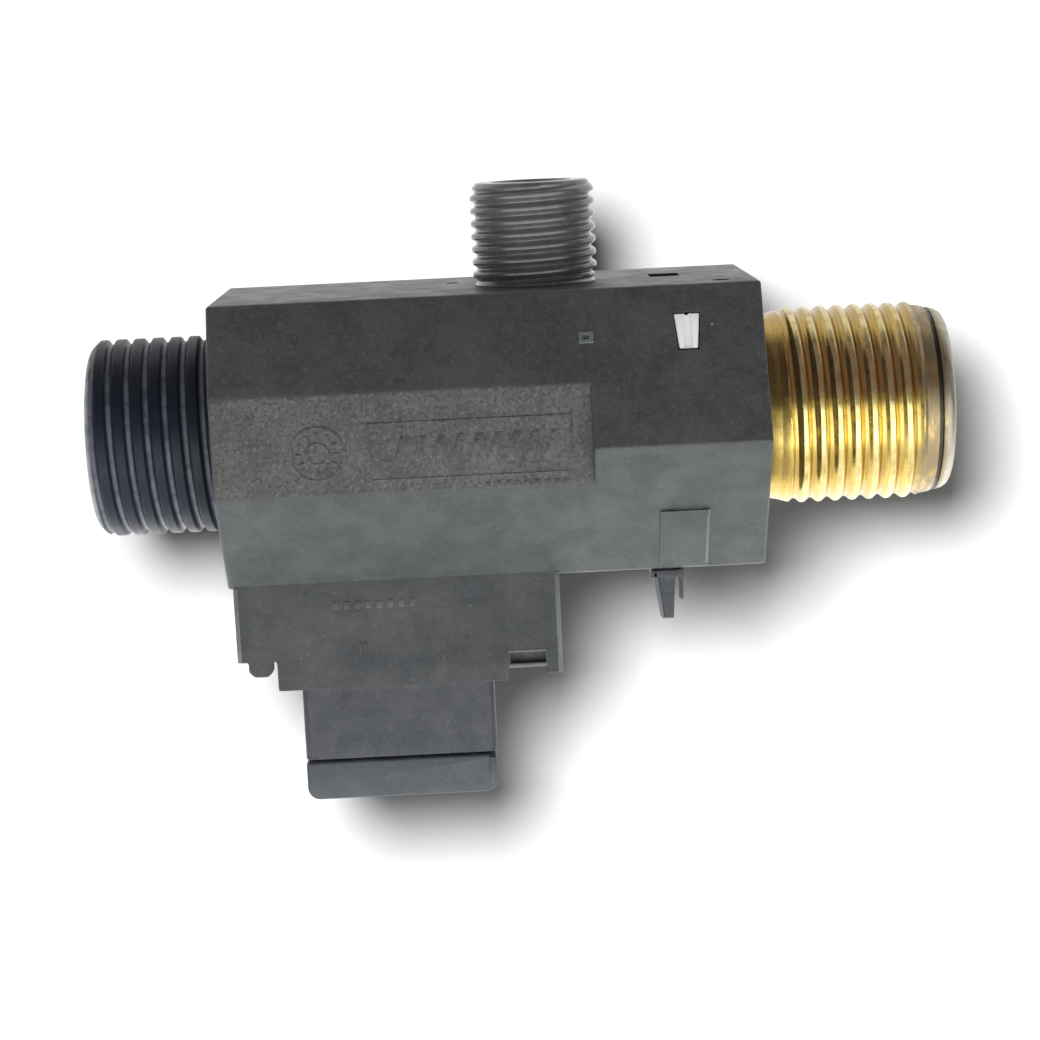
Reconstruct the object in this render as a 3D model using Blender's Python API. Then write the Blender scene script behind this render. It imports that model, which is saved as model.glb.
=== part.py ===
"""Plastic-bodied solenoid valve with three threaded ports and a plug-in coil.

Row frame: the origin is the centre of the inlet's end face, +X runs along the
flow, +Y goes to the back of the valve and +Z points up, along the branch port.
Sizes are written in millimetres. Pieces are shaped at that scale, where Blender's
Booleans are most exact, and dress() brings each finished piece to metres.
"""
import math

import bmesh
import bpy
from mathutils import Matrix, Vector

MM = 0.001
MERGE = 1e-4  # vertices closer than this are one, in mm
SHARP_ANGLE = 24  # degrees; flatter edges are shaded smooth
GAP = 0.3  # clearance between two pieces that touch in the real valve
OVER = 1.0  # how far a cutter runs past the face it cuts
SINK = 0.25  # how deep a thread's ridge is rooted in its core

# Pipe threads (ISO 228): crest radius, root radius, pitch
G_HALF = (10.478, 9.32, 1.814)
G_QUARTER = (6.58, 5.72, 1.337)
THREAD_SIDES, BRANCH_SIDES = 32, 24

# Hexagonal body, seen along X: half widths and heights of its corners
BODY_X = (13.75, 70.15)
TOP_HALF, TOP_Z = 12.9, 14.5
RIDGE_HALF, RIDGE_Z = 20.3, -1.0
BASE_HALF, BASE_Z = 8.9, -15.5
FLAT_HALF = 17.2  # the ridge is cut flat here, as far as FLAT_END
FLAT_END = 52.2
FACET_SLOPE = (RIDGE_HALF - TOP_HALF) / (TOP_Z - RIDGE_Z)

# Ports
BORE_R = 6.5
INLET_BORE_END = 24.0
CHANNEL_R, CHANNEL_START = 6.0, 27.0
BRANCH_X, BRANCH_RIM_Z, BRANCH_BORE_R = 47.55, 25.2, 4.0
SOCKET_R, SOCKET_START = 9.1, 53.5

# Threaded spigots: radius and end of the shank that sits in the body
INLET_SHANK_R, INLET_SHANK_END = 8.4, 20.4
BRANCH_SHANK_R, BRANCH_SHANK_END = 5.4, 10.1

# Outlet tail piece
TAIL_START, TAIL_END, TAIL_SHANK_R = 54.0, 90.5, 8.8
GROOVE_R = 7.2
GROOVES = ((54.9, 56.6), (57.5, 59.2))
FORK_GROOVE, FORK_GROOVE_R = (60.6, 64.2), 7.8
NECK_R, TAIL_THREAD = 9.3, (74.0, 87.6)

# Locking fork
LEG_X, LEG_TOP_HALF, LEG_FOOT_HALF = 62.4, 1.45, 1.0
LEG_Z = (8.2, 11.6)
LOWER_LEG_TIP_Y = -9.6
POCKET_Y, POCKET_HALF_X, POCKET_HALF_Z = 14.6, 2.4, 12.3
BRIDGE_Y = (15.0, 18.4)

# Lower housing around the coil
HOUSING_X, HOUSING_HALF_Y, HOUSING_TOP_Z = (14.3, 48.4), 9.2, -12.0
CAVITY_X, CAVITY_HALF_Y, CAVITY_Z = (15.1, 47.2), 8.0, -14.5
WALL_Z, FLANGE_Z = -23.4, -26.0
APRON_X, APRON_Z = (18.4, 42.6), -26.6
LUG_X, LUG_Z = (15.4, 18.0), -25.0
LOOP_X, LOOP_Z = (42.9, 46.7), (-24.8, -23.6)
LOOP_FOOT_Z, LOOP_DEPTH = -25.3, 0.9

# Valve and armature, on one vertical axis
COIL_X = 30.95
CHAMBER_R, CHAMBER_TOP_Z = 5.6, -8.0
SEAT_HOLE_R, SEAT_SHANK_R, SEAT_FLANGE_R = 2.2, 3.6, 4.5
SEAT_LIP_Z = -9.3
DISC_R, DISC_Z = 3.4, (-11.2, -9.6)
CARRIER_R, CARRIER_Z = 4.1, (-12.0, -10.3)
STEM_R, STEM_END_Z = 1.2, -14.2
PLUNGER_R, PLUNGER_Z = 2.9, (-21.1, -12.3)
SPRING_HOLE_R, SPRING_HOLE_Z = 1.9, -15.6
TUBE_R, TUBE_WALL, TUBE_END_Z = 3.2, 0.4, -27.9
TUBE_FLANGE_R, TUBE_FLANGE_Z = 7.3, (-15.6, -14.8)
CORE_TOP_Z, STUD_R, STUD_END_Z = -23.9, 1.4, -30.6
SPRING_R, SPRING_WIRE_R, SPRING_TURNS = 1.3, 0.26, 6

# Bonnet plate and its screws
PLATE_X, PLATE_HALF_Y, PLATE_Z = (15.5, 46.8), 7.6, (-17.5, -15.9)
SCREW_OFFSET = (13.05, 5.0)
SCREW_R, SCREW_TIP_Z, SCREW_HEAD_R, SCREW_HEAD_H = 1.2, -9.8, 2.4, 1.8

# Coil: flux plate, bobbin, winding and yoke
FLUX_Z, YOKE_HALF_Y = (-19.4, -18.2), 6.0
YOKE_X, YOKE_T = (22.1, 39.8), 1.0
BOBBIN_Z, BOBBIN_R, BOBBIN_FLANGE_R, BOBBIN_FLANGE_T = (-27.9, -19.7), 4.4, 6.3, 0.8
WINDING_R = 6.0
WEB_Z = (-29.3, -28.2)
NUT_R, NUT_Z = 2.7, (-30.6, -29.6)

# Coil case and terminal cap
CASE_X, CASE_HALF_Y, CASE_Z = (20.7, 41.1), 7.6, (-34.6, -17.8)
CASE_WALL, FLOOR_Z = 1.0, (-32.1, -30.9)
CAP_X, CAP_Z, CAP_CORNER_R = (20.7, 41.0), (-39.0, -34.9), 1.3
SOCKET_X, SOCKET_HALF_Y, SOCKET_KEY = (23.0, 38.9), 5.6, 1.2
PIN_OFFSET, PIN_HALF_Y, PIN_T, PIN_Z = 4.6, 1.4, 0.8, (-37.2, -29.6)

# Wiring clip under the outlet end
CLIP_X, CLIP_Y = (58.2, 61.6), (-8.3, -4.3)
CLIP_ROOT_X, CLIP_ROOT_Y, CLIP_ROOT_Z = (58.8, 60.9), (-7.6, -5.0), -12.8
CLIP_PLATE_Z, CLIP_TIP_Z = (-16.6, -15.8), -21.0

AXES = {
    "X": Matrix(((0, 0, 1), (1, 0, 0), (0, 1, 0))),
    "Y": Matrix(((0, 1, 0), (0, 0, 1), (1, 0, 0))),
    "Z": Matrix.Identity(3),
}


def clear_scene():
    for obj in list(bpy.data.objects):
        bpy.data.objects.remove(obj)


def material(name, colour, roughness, metallic=0.0):
    made = bpy.data.materials.new(name)
    made.use_nodes = True
    shader = made.node_tree.nodes["Principled BSDF"]
    shader.inputs["Base Color"].default_value = (*colour, 1.0)
    shader.inputs["Roughness"].default_value = roughness
    shader.inputs["Metallic"].default_value = metallic
    made.diffuse_color = (*colour, 1.0)
    return made


def finish_mesh(name, bm, centre=(0, 0, 0), axis="Z"):
    """Turn bm, drawn about a local Z axis, into an object at centre, still in mm."""
    bmesh.ops.transform(bm, matrix=AXES[axis].to_4x4(), verts=bm.verts)
    bmesh.ops.remove_doubles(bm, verts=bm.verts, dist=MERGE)
    bmesh.ops.dissolve_degenerate(bm, edges=bm.edges, dist=MERGE)
    bmesh.ops.recalc_face_normals(bm, faces=bm.faces)
    mesh = bpy.data.meshes.new(name)
    bm.to_mesh(mesh)
    bm.free()
    obj = bpy.data.objects.new(name, mesh)
    obj.location = centre
    bpy.context.collection.objects.link(obj)
    return obj


def turned(name, outline, sides, centre=(0, 0, 0), axis="Z"):
    """Solid of revolution; outline is a closed loop of (radius, height)."""
    bm = bmesh.new()
    verts = [bm.verts.new((radius, 0, height)) for radius, height in outline]
    edges = []
    for first, second in zip(verts, verts[1:] + verts[:1]):
        if first.co.x > 0 or second.co.x > 0:
            edges.append(bm.edges.new((first, second)))
    bmesh.ops.spin(
        bm, geom=verts + edges, cent=(0, 0, 0), axis=(0, 0, 1),
        angle=2 * math.pi, steps=sides, use_merge=True,
    )
    return finish_mesh(name, bm, centre, axis)


def cylinder(name, radius, low, high, sides, centre=(0, 0, 0), axis="Z"):
    outline = [(0, low), (radius, low), (radius, high), (0, high)]
    return turned(name, outline, sides, centre, axis)


def prism(name, outline, low, high, axis="Z", centre=(0, 0, 0)):
    """Extrude a closed outline of (u, v) points from low to high along axis."""
    bm = bmesh.new()
    base = bm.faces.new([bm.verts.new((u, v, low)) for u, v in outline])
    extruded = bmesh.ops.extrude_face_region(bm, geom=[base])
    moved = [item for item in extruded["geom"] if isinstance(item, bmesh.types.BMVert)]
    bmesh.ops.translate(bm, vec=(0, 0, high - low), verts=moved)
    return finish_mesh(name, bm, centre, axis)


def block(name, x, y, z):
    """Box between the limits x, y and z, each a (low, high) pair."""
    outline = [(x[0], y[0]), (x[1], y[0]), (x[1], y[1]), (x[0], y[1])]
    return prism(name, outline, z[0], z[1])


def spread(half):
    return (-half, half)


def weld(mesh):
    """Merge the near-duplicate vertices that a Boolean leaves."""
    bm = bmesh.new()
    bm.from_mesh(mesh)
    bmesh.ops.remove_doubles(bm, verts=bm.verts, dist=MERGE)
    bmesh.ops.dissolve_degenerate(bm, edges=bm.edges, dist=MERGE)
    bm.to_mesh(mesh)
    bm.free()


def combine(base, tool, operation):
    """Apply one Boolean to base and remove the tool."""
    tool.hide_render = True
    tool.display_type = "WIRE"
    modifier = base.modifiers.new("combine", "BOOLEAN")
    modifier.operation = operation
    modifier.solver = "EXACT"
    modifier.object = tool
    depsgraph = bpy.context.evaluated_depsgraph_get()
    mesh = bpy.data.meshes.new_from_object(base.evaluated_get(depsgraph))
    base.modifiers.remove(modifier)
    weld(mesh)
    base.data = mesh
    bpy.data.objects.remove(tool)


def join(base, *tools):
    for tool in tools:
        combine(base, tool, "UNION")


def cut(base, *tools):
    for tool in tools:
        combine(base, tool, "DIFFERENCE")


def to_metres(obj):
    obj.data.transform(Matrix.Scale(MM, 4))
    obj.location *= MM


def dress(obj, look, parent=None):
    """Bring a finished piece to metres, with its material, shading and parent."""
    to_metres(obj)
    obj.data.name = obj.name
    obj.data.materials.clear()
    obj.data.materials.append(look)
    obj.data.shade_smooth()
    obj.data.set_sharp_from_angle(angle=math.radians(SHARP_ANGLE))
    if parent:
        bpy.context.view_layer.update()
        obj.parent = parent
        obj.matrix_parent_inverse = parent.matrix_world.inverted()
    return obj


def axis_empty(name, centre):
    empty = bpy.data.objects.new(name, None)
    empty.empty_display_size = 5 * MM
    empty.location = Vector(centre) * MM
    bpy.context.collection.objects.link(empty)
    bpy.context.view_layer.update()
    return empty


def thread_ridge(name, size, start, end, limit, sides, centre=(0, 0, 0), axis="X"):
    """Right-hand helical ridge of a pipe thread, for joining to its core.

    limit(height) is the largest radius the crest may reach at that height.
    """
    crest_r, root_r, pitch = size
    flank = (crest_r - root_r) * math.tan(math.radians(27.5))
    base_r = root_r - SINK
    crest_half = 0.09 * pitch
    base_half = crest_half + flank + SINK * math.tan(math.radians(27.5))
    steps = round((end - start) / pitch * sides)
    bm = bmesh.new()
    rings = []
    for step in range(steps + 1):
        angle = 2 * math.pi * step / sides
        height = start + pitch * step / sides
        top_r = max(min(crest_r, limit(height)), base_r + 0.05)
        section = (
            (-base_half, base_r), (-crest_half, top_r), (crest_half, top_r), (base_half, base_r),
        )
        rings.append([
            bm.verts.new((radius * math.cos(angle), radius * math.sin(angle), height + shift))
            for shift, radius in section
        ])
    for ring, following in zip(rings, rings[1:]):
        for corner in range(4):
            nearby = (corner + 1) % 4
            bm.faces.new((ring[corner], ring[nearby], following[nearby], following[corner]))
    bm.faces.new(rings[0])
    bm.faces.new(rings[-1])
    return finish_mesh(name, bm, centre, axis)


def ramp(low_at, low_r, high_at, high_r):
    """Radius that runs from low_r at one height to high_r at another."""
    slope = (high_r - low_r) / (high_at - low_at)
    return lambda height: low_r + slope * (height - low_at)


def facet_y(z):
    """Half width of the body's upper facet at height z."""
    return TOP_HALF + FACET_SLOPE * (TOP_Z - z)


def base_facet_y(z):
    """Half width of the body's lower facet at height z."""
    share = (RIDGE_Z - z) / (RIDGE_Z - BASE_Z)
    return RIDGE_HALF - (RIDGE_HALF - BASE_HALF) * share


def housing_outline():
    """Side outline (z, x) of the lower housing, for a prism along Y."""
    corner = 0.6
    outline_xz = [
        (HOUSING_X[0], HOUSING_TOP_Z), (HOUSING_X[0], WALL_Z), (LUG_X[0], WALL_Z),
        (LUG_X[0], LUG_Z + corner), (LUG_X[0] + corner, LUG_Z),
        (LUG_X[1] - corner, LUG_Z), (LUG_X[1], LUG_Z + corner), (LUG_X[1], WALL_Z),
        (APRON_X[0], WALL_Z), (APRON_X[0], APRON_Z), (APRON_X[1], APRON_Z),
        (APRON_X[1], LOOP_FOOT_Z), (CAVITY_X[1] - OVER / 2, LOOP_FOOT_Z),
        (CAVITY_X[1] - OVER / 2, FLANGE_Z), (HOUSING_X[1], FLANGE_Z), (HOUSING_X[1], HOUSING_TOP_Z),
    ]
    return [(z, x) for x, z in outline_xz]


def body_shell():
    """Outer shape of the body: hexagonal block, housing and pad."""
    hexagon = [
        (-TOP_HALF, TOP_Z), (-RIDGE_HALF, RIDGE_Z), (-BASE_HALF, BASE_Z),
        (BASE_HALF, BASE_Z), (RIDGE_HALF, RIDGE_Z), (TOP_HALF, TOP_Z),
    ]
    body = prism("valve_body", hexagon, *BODY_X, axis="X")
    for side in (-1, 1):
        reach = sorted((side * FLAT_HALF, side * (RIDGE_HALF + OVER)))
        cut(body, block("ridge", (BODY_X[0] - OVER, FLAT_END), reach, (-9, 9)))
    housing = prism("housing", housing_outline(), -HOUSING_HALF_Y, HOUSING_HALF_Y, axis="Y")
    pad_z = (-8.3, BASE_Z)
    pad = [
        (-base_facet_y(pad_z[0]) - 0.4, pad_z[0] - 0.3), (-base_facet_y(pad_z[0]) + 2, pad_z[0]),
        (-BASE_HALF + 2, pad_z[1] + 0.2), (-BASE_HALF - 0.4, pad_z[1] - 0.3),
    ]
    join(body, housing, prism("pad", pad, 58.9, 64.0, axis="X"))
    return body


def cut_flow_path(body):
    """Inlet bore, passage to the chamber, seat, outlet channel and sockets."""
    branch = (BRANCH_X, 0, 0)
    inlet_seat, branch_seat = INLET_SHANK_END + GAP, BRANCH_SHANK_END - GAP
    cut(
        body,
        cylinder("inlet_seat", INLET_SHANK_R + GAP, BODY_X[0] - OVER, inlet_seat, 32, axis="X"),
        cylinder("inlet", BORE_R, inlet_seat - OVER, INLET_BORE_END, 32, axis="X"),
        cylinder("socket", SOCKET_R, SOCKET_START, BODY_X[1] + OVER, 40, axis="X"),
        cylinder("channel", CHANNEL_R, CHANNEL_START, SOCKET_START + OVER, 32, axis="X"),
        cylinder("branch_seat", BRANCH_SHANK_R + GAP, branch_seat, TOP_Z + OVER, 24, branch),
        cylinder("branch", BRANCH_BORE_R, 2, branch_seat + OVER, 24, branch),
        block("passage", (21.4, 25.0), spread(2.4), (-11.6, -4)),
        block("chamber_mouth", (24.0, 27.0), spread(2.4), (-11.6, -8.6)),
        cylinder("chamber", CHAMBER_R, CAVITY_Z - OVER, CHAMBER_TOP_Z, 32, centre=(COIL_X, 0, 0)),
        cylinder("seat_bore", SEAT_SHANK_R + GAP, CHAMBER_TOP_Z - OVER, -4, 32,
                 centre=(COIL_X, 0, 0)),
    )


def cut_housing(body):
    """Cavity around the coil, O-ring groove, screw pilots and the front recess."""
    groove = [
        (CHAMBER_R + 0.4, CAVITY_Z - OVER), (CHAMBER_R + 1.6, CAVITY_Z - OVER),
        (CHAMBER_R + 1.6, CAVITY_Z + 1.2), (CHAMBER_R + 0.4, CAVITY_Z + 1.2),
    ]
    cut(
        body,
        block("cavity", CAVITY_X, spread(CAVITY_HALF_Y), (-30, CAVITY_Z)),
        turned("groove", groove, 32, centre=(COIL_X, 0, 0)),
        block("loop", LOOP_X, (-HOUSING_HALF_Y - OVER, -HOUSING_HALF_Y + LOOP_DEPTH), LOOP_Z),
    )
    for x, y in screw_places():
        pilot = cylinder("pilot", SCREW_R + GAP, CAVITY_Z - OVER, SCREW_TIP_Z + GAP, 16,
                         centre=(x, y, 0))
        cut(body, pilot)


def leg_section(side, gap=0.0):
    """Section (z, x) of the upper (side 1) or lower (side -1) fork leg."""
    inner, outer = side * (LEG_Z[0] - gap), side * (LEG_Z[1] + gap)
    return [
        (outer, LEG_X - LEG_TOP_HALF - gap), (outer, LEG_X + LEG_TOP_HALF + gap),
        (inner, LEG_X + LEG_FOOT_HALF + gap), (inner, LEG_X - LEG_FOOT_HALF - gap),
    ]


def cut_fork_slots(body):
    """Slots for the fork's legs, its pocket at the back and the clip's slot."""
    back = RIDGE_HALF + OVER
    clip_slot = (
        (CLIP_ROOT_X[0] - GAP, CLIP_ROOT_X[1] + GAP),
        (CLIP_ROOT_Y[0] - GAP, CLIP_ROOT_Y[1] + GAP),
        (BASE_Z - OVER, CLIP_ROOT_Z + GAP),
    )
    cut(
        body,
        prism("upper_slot", leg_section(1, GAP), -back, back, axis="Y"),
        prism("lower_slot", leg_section(-1, GAP), LOWER_LEG_TIP_Y - GAP, back, axis="Y"),
        block("pocket", (LEG_X - POCKET_HALF_X, LEG_X + POCKET_HALF_X), (POCKET_Y, back),
              spread(POCKET_HALF_Z)),
        block("top_slot", (59.7, 62.9), (-1.0, 3.4), (13.2, TOP_Z + OVER)),
        block("clip_slot", *clip_slot),
    )


def make_body(look):
    body = body_shell()
    cut_flow_path(body)
    cut_housing(body)
    cut_fork_slots(body)
    return dress(body, look)


def make_inlet_spigot(look):
    """Threaded inlet tube; its shank sits in the body's end."""
    shoulder = BODY_X[0] - GAP
    outline = [
        (BORE_R, 0), (G_HALF[1], 0), (G_HALF[1], shoulder), (INLET_SHANK_R, shoulder),
        (INLET_SHANK_R, INLET_SHANK_END), (BORE_R, INLET_SHANK_END),
    ]
    spigot = turned("inlet_spigot", outline, THREAD_SIDES, axis="X")
    start_limit = ramp(0.6, G_HALF[1] - 0.1, 2.2, G_HALF[0])
    end_limit = ramp(shoulder - 0.9, G_HALF[1], shoulder - 1.9, G_HALF[0])
    join(spigot, thread_ridge("inlet_thread", G_HALF, 1.2, shoulder - 0.95,
                              lambda height: min(start_limit(height), end_limit(height)),
                              THREAD_SIDES))
    dress(spigot, look)


def make_branch_spigot(look):
    """Threaded branch tube; its shank sits in the body's top."""
    neck_r, shoulder, root_r = G_QUARTER[1] + 0.4, TOP_Z + GAP, G_QUARTER[1]
    outline = [
        (BRANCH_BORE_R, BRANCH_SHANK_END), (BRANCH_SHANK_R, BRANCH_SHANK_END),
        (BRANCH_SHANK_R, shoulder), (neck_r, shoulder), (neck_r, TOP_Z + 1.0),
        (root_r, TOP_Z + 1.4), (root_r, BRANCH_RIM_Z - 0.3), (root_r - 0.3, BRANCH_RIM_Z),
        (BRANCH_BORE_R, BRANCH_RIM_Z),
    ]
    spigot = turned("branch_spigot", outline, BRANCH_SIDES, centre=(BRANCH_X, 0, 0))
    limit = ramp(BRANCH_RIM_Z - 0.2, root_r, BRANCH_RIM_Z - 1.3, G_QUARTER[0])
    join(spigot, thread_ridge("branch_thread", G_QUARTER, TOP_Z + 1.9, BRANCH_RIM_Z - 0.5, limit,
                              BRANCH_SIDES, centre=(BRANCH_X, 0, 0), axis="Z"))
    dress(spigot, look)


def make_strainer(frame_look, mesh_look):
    ring, cage_r, end = (6.0, 8.0), 6.1, (19.0, 20.2)
    frame = turned("inlet_strainer_frame", [(4.4, ring[0]), (cage_r, ring[0]),
                                            (cage_r, ring[1]), (4.4, ring[1])], 32, axis="X")
    join(frame, cylinder("end_disc", cage_r, *end, 32, axis="X"))
    for turn in range(4):
        angle = math.radians(45 + 90 * turn)
        rib = block("rib", (ring[0] + 0.5, end[1] - 0.4), (-0.5, 0.5), (5.2, cage_r - 0.15))
        rib.rotation_euler.x = angle
        join(frame, rib)
    sleeve = [
        (4.5, ring[1] + GAP), (4.9, ring[1] + GAP), (4.9, end[0] - GAP), (4.5, end[0] - GAP),
    ]
    dress(frame, frame_look)
    dress(turned("inlet_strainer_mesh", sleeve, 32, axis="X"), mesh_look)


def make_seat(look):
    outline = [
        (SEAT_HOLE_R, SEAT_LIP_Z), (SEAT_HOLE_R + 0.6, SEAT_LIP_Z),
        (SEAT_HOLE_R + 1.0, SEAT_LIP_Z + 0.4), (SEAT_FLANGE_R, SEAT_LIP_Z + 0.4),
        (SEAT_FLANGE_R, CHAMBER_TOP_Z - GAP), (SEAT_SHANK_R, CHAMBER_TOP_Z - GAP),
        (SEAT_SHANK_R, -6.4), (SEAT_HOLE_R, -6.4),
    ]
    dress(turned("valve_seat", outline, 32, centre=(COIL_X, 0, 0)), look)


def make_outlet_tail(look, parent):
    """Brass tail piece: grooved shank, neck, threaded spigot and rim."""
    outline = [(BORE_R, TAIL_START), (TAIL_SHANK_R, TAIL_START)]
    for start, end in (*GROOVES, FORK_GROOVE):
        bottom = FORK_GROOVE_R if start == FORK_GROOVE[0] else GROOVE_R
        outline += [(TAIL_SHANK_R, start), (bottom, start), (bottom, end), (TAIL_SHANK_R, end)]
    shoulder = BODY_X[1] + GAP
    outline += [
        (TAIL_SHANK_R, shoulder), (NECK_R, shoulder), (NECK_R, TAIL_THREAD[1]),
        (10.1, TAIL_THREAD[1]), (9.95, 88.9), (9.5, 88.9), (9.5, 89.6),
        (9.7, 89.6), (9.3, TAIL_END), (7.2, TAIL_END), (BORE_R, TAIL_END - 0.8),
    ]
    tail = turned("outlet_tail", outline, THREAD_SIDES, axis="X")
    first, last = TAIL_THREAD
    start_limit = ramp(first - 0.2, NECK_R, first + 1.1, G_HALF[0])
    end_limit = ramp(last + 0.6, 10.0, last - 0.4, G_HALF[0])
    ridge = thread_ridge("tail_thread", G_HALF, first, last - 0.3,
                         lambda height: min(start_limit(height), end_limit(height)), THREAD_SIDES)
    join(tail, ridge)
    dress(tail, look, parent)


def make_o_ring(name, ring_r, wire_r, centre, axis, look, parent=None):
    section = [
        (ring_r + wire_r * math.cos(turn * math.pi / 4), wire_r * math.sin(turn * math.pi / 4))
        for turn in range(8)
    ]
    dress(turned(name, section, 28, centre, axis), look, parent)


def make_fork(look, parent):
    """Locking fork: two legs that sit in the tail's groove, and a bridge."""
    tips = {1: lambda z: -facet_y(z) + 0.35, -1: lambda z: LOWER_LEG_TIP_Y}
    fork = block("locking_fork", (LEG_X - LEG_TOP_HALF, LEG_X + LEG_TOP_HALF), BRIDGE_Y,
                 spread(LEG_Z[1]))
    for side, tip in tips.items():
        section = leg_section(side)
        bm = bmesh.new()
        front = [bm.verts.new((x, tip(z), z)) for z, x in section]
        rear = [bm.verts.new((x, BRIDGE_Y[0] + OVER, z)) for z, x in section]
        bm.faces.new(front)
        bm.faces.new(rear)
        for corner in range(4):
            nearby = (corner + 1) % 4
            bm.faces.new((front[corner], front[nearby], rear[nearby], rear[corner]))
        join(fork, finish_mesh("leg", bm))
    dress(fork, look, parent)


def screw_places():
    dx, dy = SCREW_OFFSET
    return [(COIL_X + x, y) for x in (-dx, dx) for y in (-dy, dy)]


def make_bonnet(plate_look, ring_look, screw_look):
    """Plate that clamps the guide tube, its O-ring and its four screws."""
    plate = block("bonnet_plate", PLATE_X, spread(PLATE_HALF_Y), PLATE_Z)
    cut(plate, cylinder("hole", TUBE_R + TUBE_WALL + GAP, PLATE_Z[0] - OVER, 0, 32,
                        centre=(COIL_X, 0, 0)))
    for x, y in screw_places():
        cut(plate, cylinder("clearance", SCREW_R + GAP, PLATE_Z[0] - OVER, PLATE_Z[1] + OVER, 16,
                            centre=(x, y, 0)))
    dress(plate, plate_look)
    make_o_ring("bonnet_o_ring", CHAMBER_R + 1.0, 0.5, (COIL_X, 0, CAVITY_Z + 0.5), "Z",
                ring_look)
    for number, (x, y) in enumerate(screw_places(), 1):
        dress(make_screw(f"bonnet_screw_{number}", (x, y, 0)), screw_look)


def make_screw(name, centre):
    """Pan-head screw with a cross recess, seen from below."""
    head_z = PLATE_Z[0] - GAP
    outline = [
        (0, head_z - SCREW_HEAD_H), (SCREW_HEAD_R - 0.6, head_z - SCREW_HEAD_H),
        (SCREW_HEAD_R, head_z - SCREW_HEAD_H + 0.7), (SCREW_HEAD_R, head_z),
        (SCREW_R, head_z), (SCREW_R, SCREW_TIP_Z - 0.8), (0.3, SCREW_TIP_Z), (0, SCREW_TIP_Z),
    ]
    screw = turned(name, outline, 16, centre)
    x, y = centre[0], centre[1]
    depth = (head_z - SCREW_HEAD_H - OVER, head_z - SCREW_HEAD_H + 0.9)
    cut(
        screw,
        block("slot", (x - 1.2, x + 1.2), (y - 0.3, y + 0.3), depth),
        block("slot", (x - 0.3, x + 0.3), (y - 1.2, y + 1.2), depth),
    )
    return screw


def make_armature(steel, carrier_look, disc_look, spring_look, parent):
    """Plunger, spring, seal carrier and seal disc: they slide together."""
    centre = (COIL_X, 0, 0)
    stem_hole = (STEM_R + GAP, STEM_END_Z - GAP)
    plunger = [
        (0, stem_hole[1]), (stem_hole[0], stem_hole[1]), (stem_hole[0], PLUNGER_Z[1]),
        (PLUNGER_R - 0.3, PLUNGER_Z[1]), (PLUNGER_R, PLUNGER_Z[1] - 0.3),
        (PLUNGER_R, PLUNGER_Z[0] + 0.3), (PLUNGER_R - 0.3, PLUNGER_Z[0]),
        (SPRING_HOLE_R, PLUNGER_Z[0]), (SPRING_HOLE_R, SPRING_HOLE_Z), (0, SPRING_HOLE_Z),
    ]
    dress(turned("plunger", plunger, 32, centre), steel, parent)
    recess = (DISC_R + GAP, DISC_Z[0] - GAP)
    carrier = [
        (0, STEM_END_Z), (STEM_R, STEM_END_Z), (STEM_R, CARRIER_Z[0]), (CARRIER_R, CARRIER_Z[0]),
        (CARRIER_R, CARRIER_Z[1]), (recess[0], CARRIER_Z[1]), recess, (0, recess[1]),
    ]
    dress(turned("seal_carrier", carrier, 28, centre), carrier_look, parent)
    disc = [(0, DISC_Z[0]), (DISC_R, DISC_Z[0]), (DISC_R, DISC_Z[1]), (0, DISC_Z[1])]
    dress(turned("seal_disc", disc, 28, centre), disc_look, parent)
    make_spring(spring_look, parent)


def make_spring(look, parent):
    low = CORE_TOP_Z + SPRING_WIRE_R + 0.1
    high = SPRING_HOLE_Z - SPRING_WIRE_R - 0.1
    per_turn = 12
    count = SPRING_TURNS * per_turn
    curve = bpy.data.curves.new("spring_path", "CURVE")
    curve.dimensions = "3D"
    curve.bevel_depth = SPRING_WIRE_R
    curve.bevel_resolution = 0
    curve.use_fill_caps = True
    spline = curve.splines.new("POLY")
    spline.points.add(count)
    for step, point in enumerate(spline.points):
        angle = 2 * math.pi * step / per_turn
        height = low + (high - low) * step / count
        point.co = (SPRING_R * math.cos(angle), SPRING_R * math.sin(angle), height, 1.0)
    guide = bpy.data.objects.new("spring_guide", curve)
    bpy.context.collection.objects.link(guide)
    depsgraph = bpy.context.evaluated_depsgraph_get()
    mesh = bpy.data.meshes.new_from_object(guide.evaluated_get(depsgraph))
    bpy.data.objects.remove(guide)
    spring = bpy.data.objects.new("plunger_spring", mesh)
    spring.location = (COIL_X, 0, 0)
    bpy.context.collection.objects.link(spring)
    dress(spring, look, parent)


def make_guide(tube_look, core_look, nut_look):
    """Guide tube with its clamped flange, fixed core and the core's nut."""
    centre = (COIL_X, 0, 0)
    outer = TUBE_R + TUBE_WALL
    low, high = TUBE_FLANGE_Z
    tube = [
        (TUBE_R, TUBE_END_Z), (outer, TUBE_END_Z), (outer, low),
        (TUBE_FLANGE_R, low), (TUBE_FLANGE_R, high), (TUBE_R, high),
    ]
    dress(turned("guide_tube", tube, 32, centre), tube_look)
    core_r = TUBE_R - GAP
    core = [
        (0, STUD_END_Z), (STUD_R, STUD_END_Z), (STUD_R, TUBE_END_Z), (core_r, TUBE_END_Z),
        (core_r, CORE_TOP_Z - 0.3), (core_r - 0.3, CORE_TOP_Z), (0, CORE_TOP_Z),
    ]
    dress(turned("fixed_core", core, 28, centre), core_look)
    nut = cylinder("core_nut", NUT_R, *NUT_Z, 6, centre)
    cut(nut, cylinder("bore", STUD_R + GAP, NUT_Z[0] - OVER, NUT_Z[1] + OVER, 20, centre))
    dress(nut, nut_look)


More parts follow.
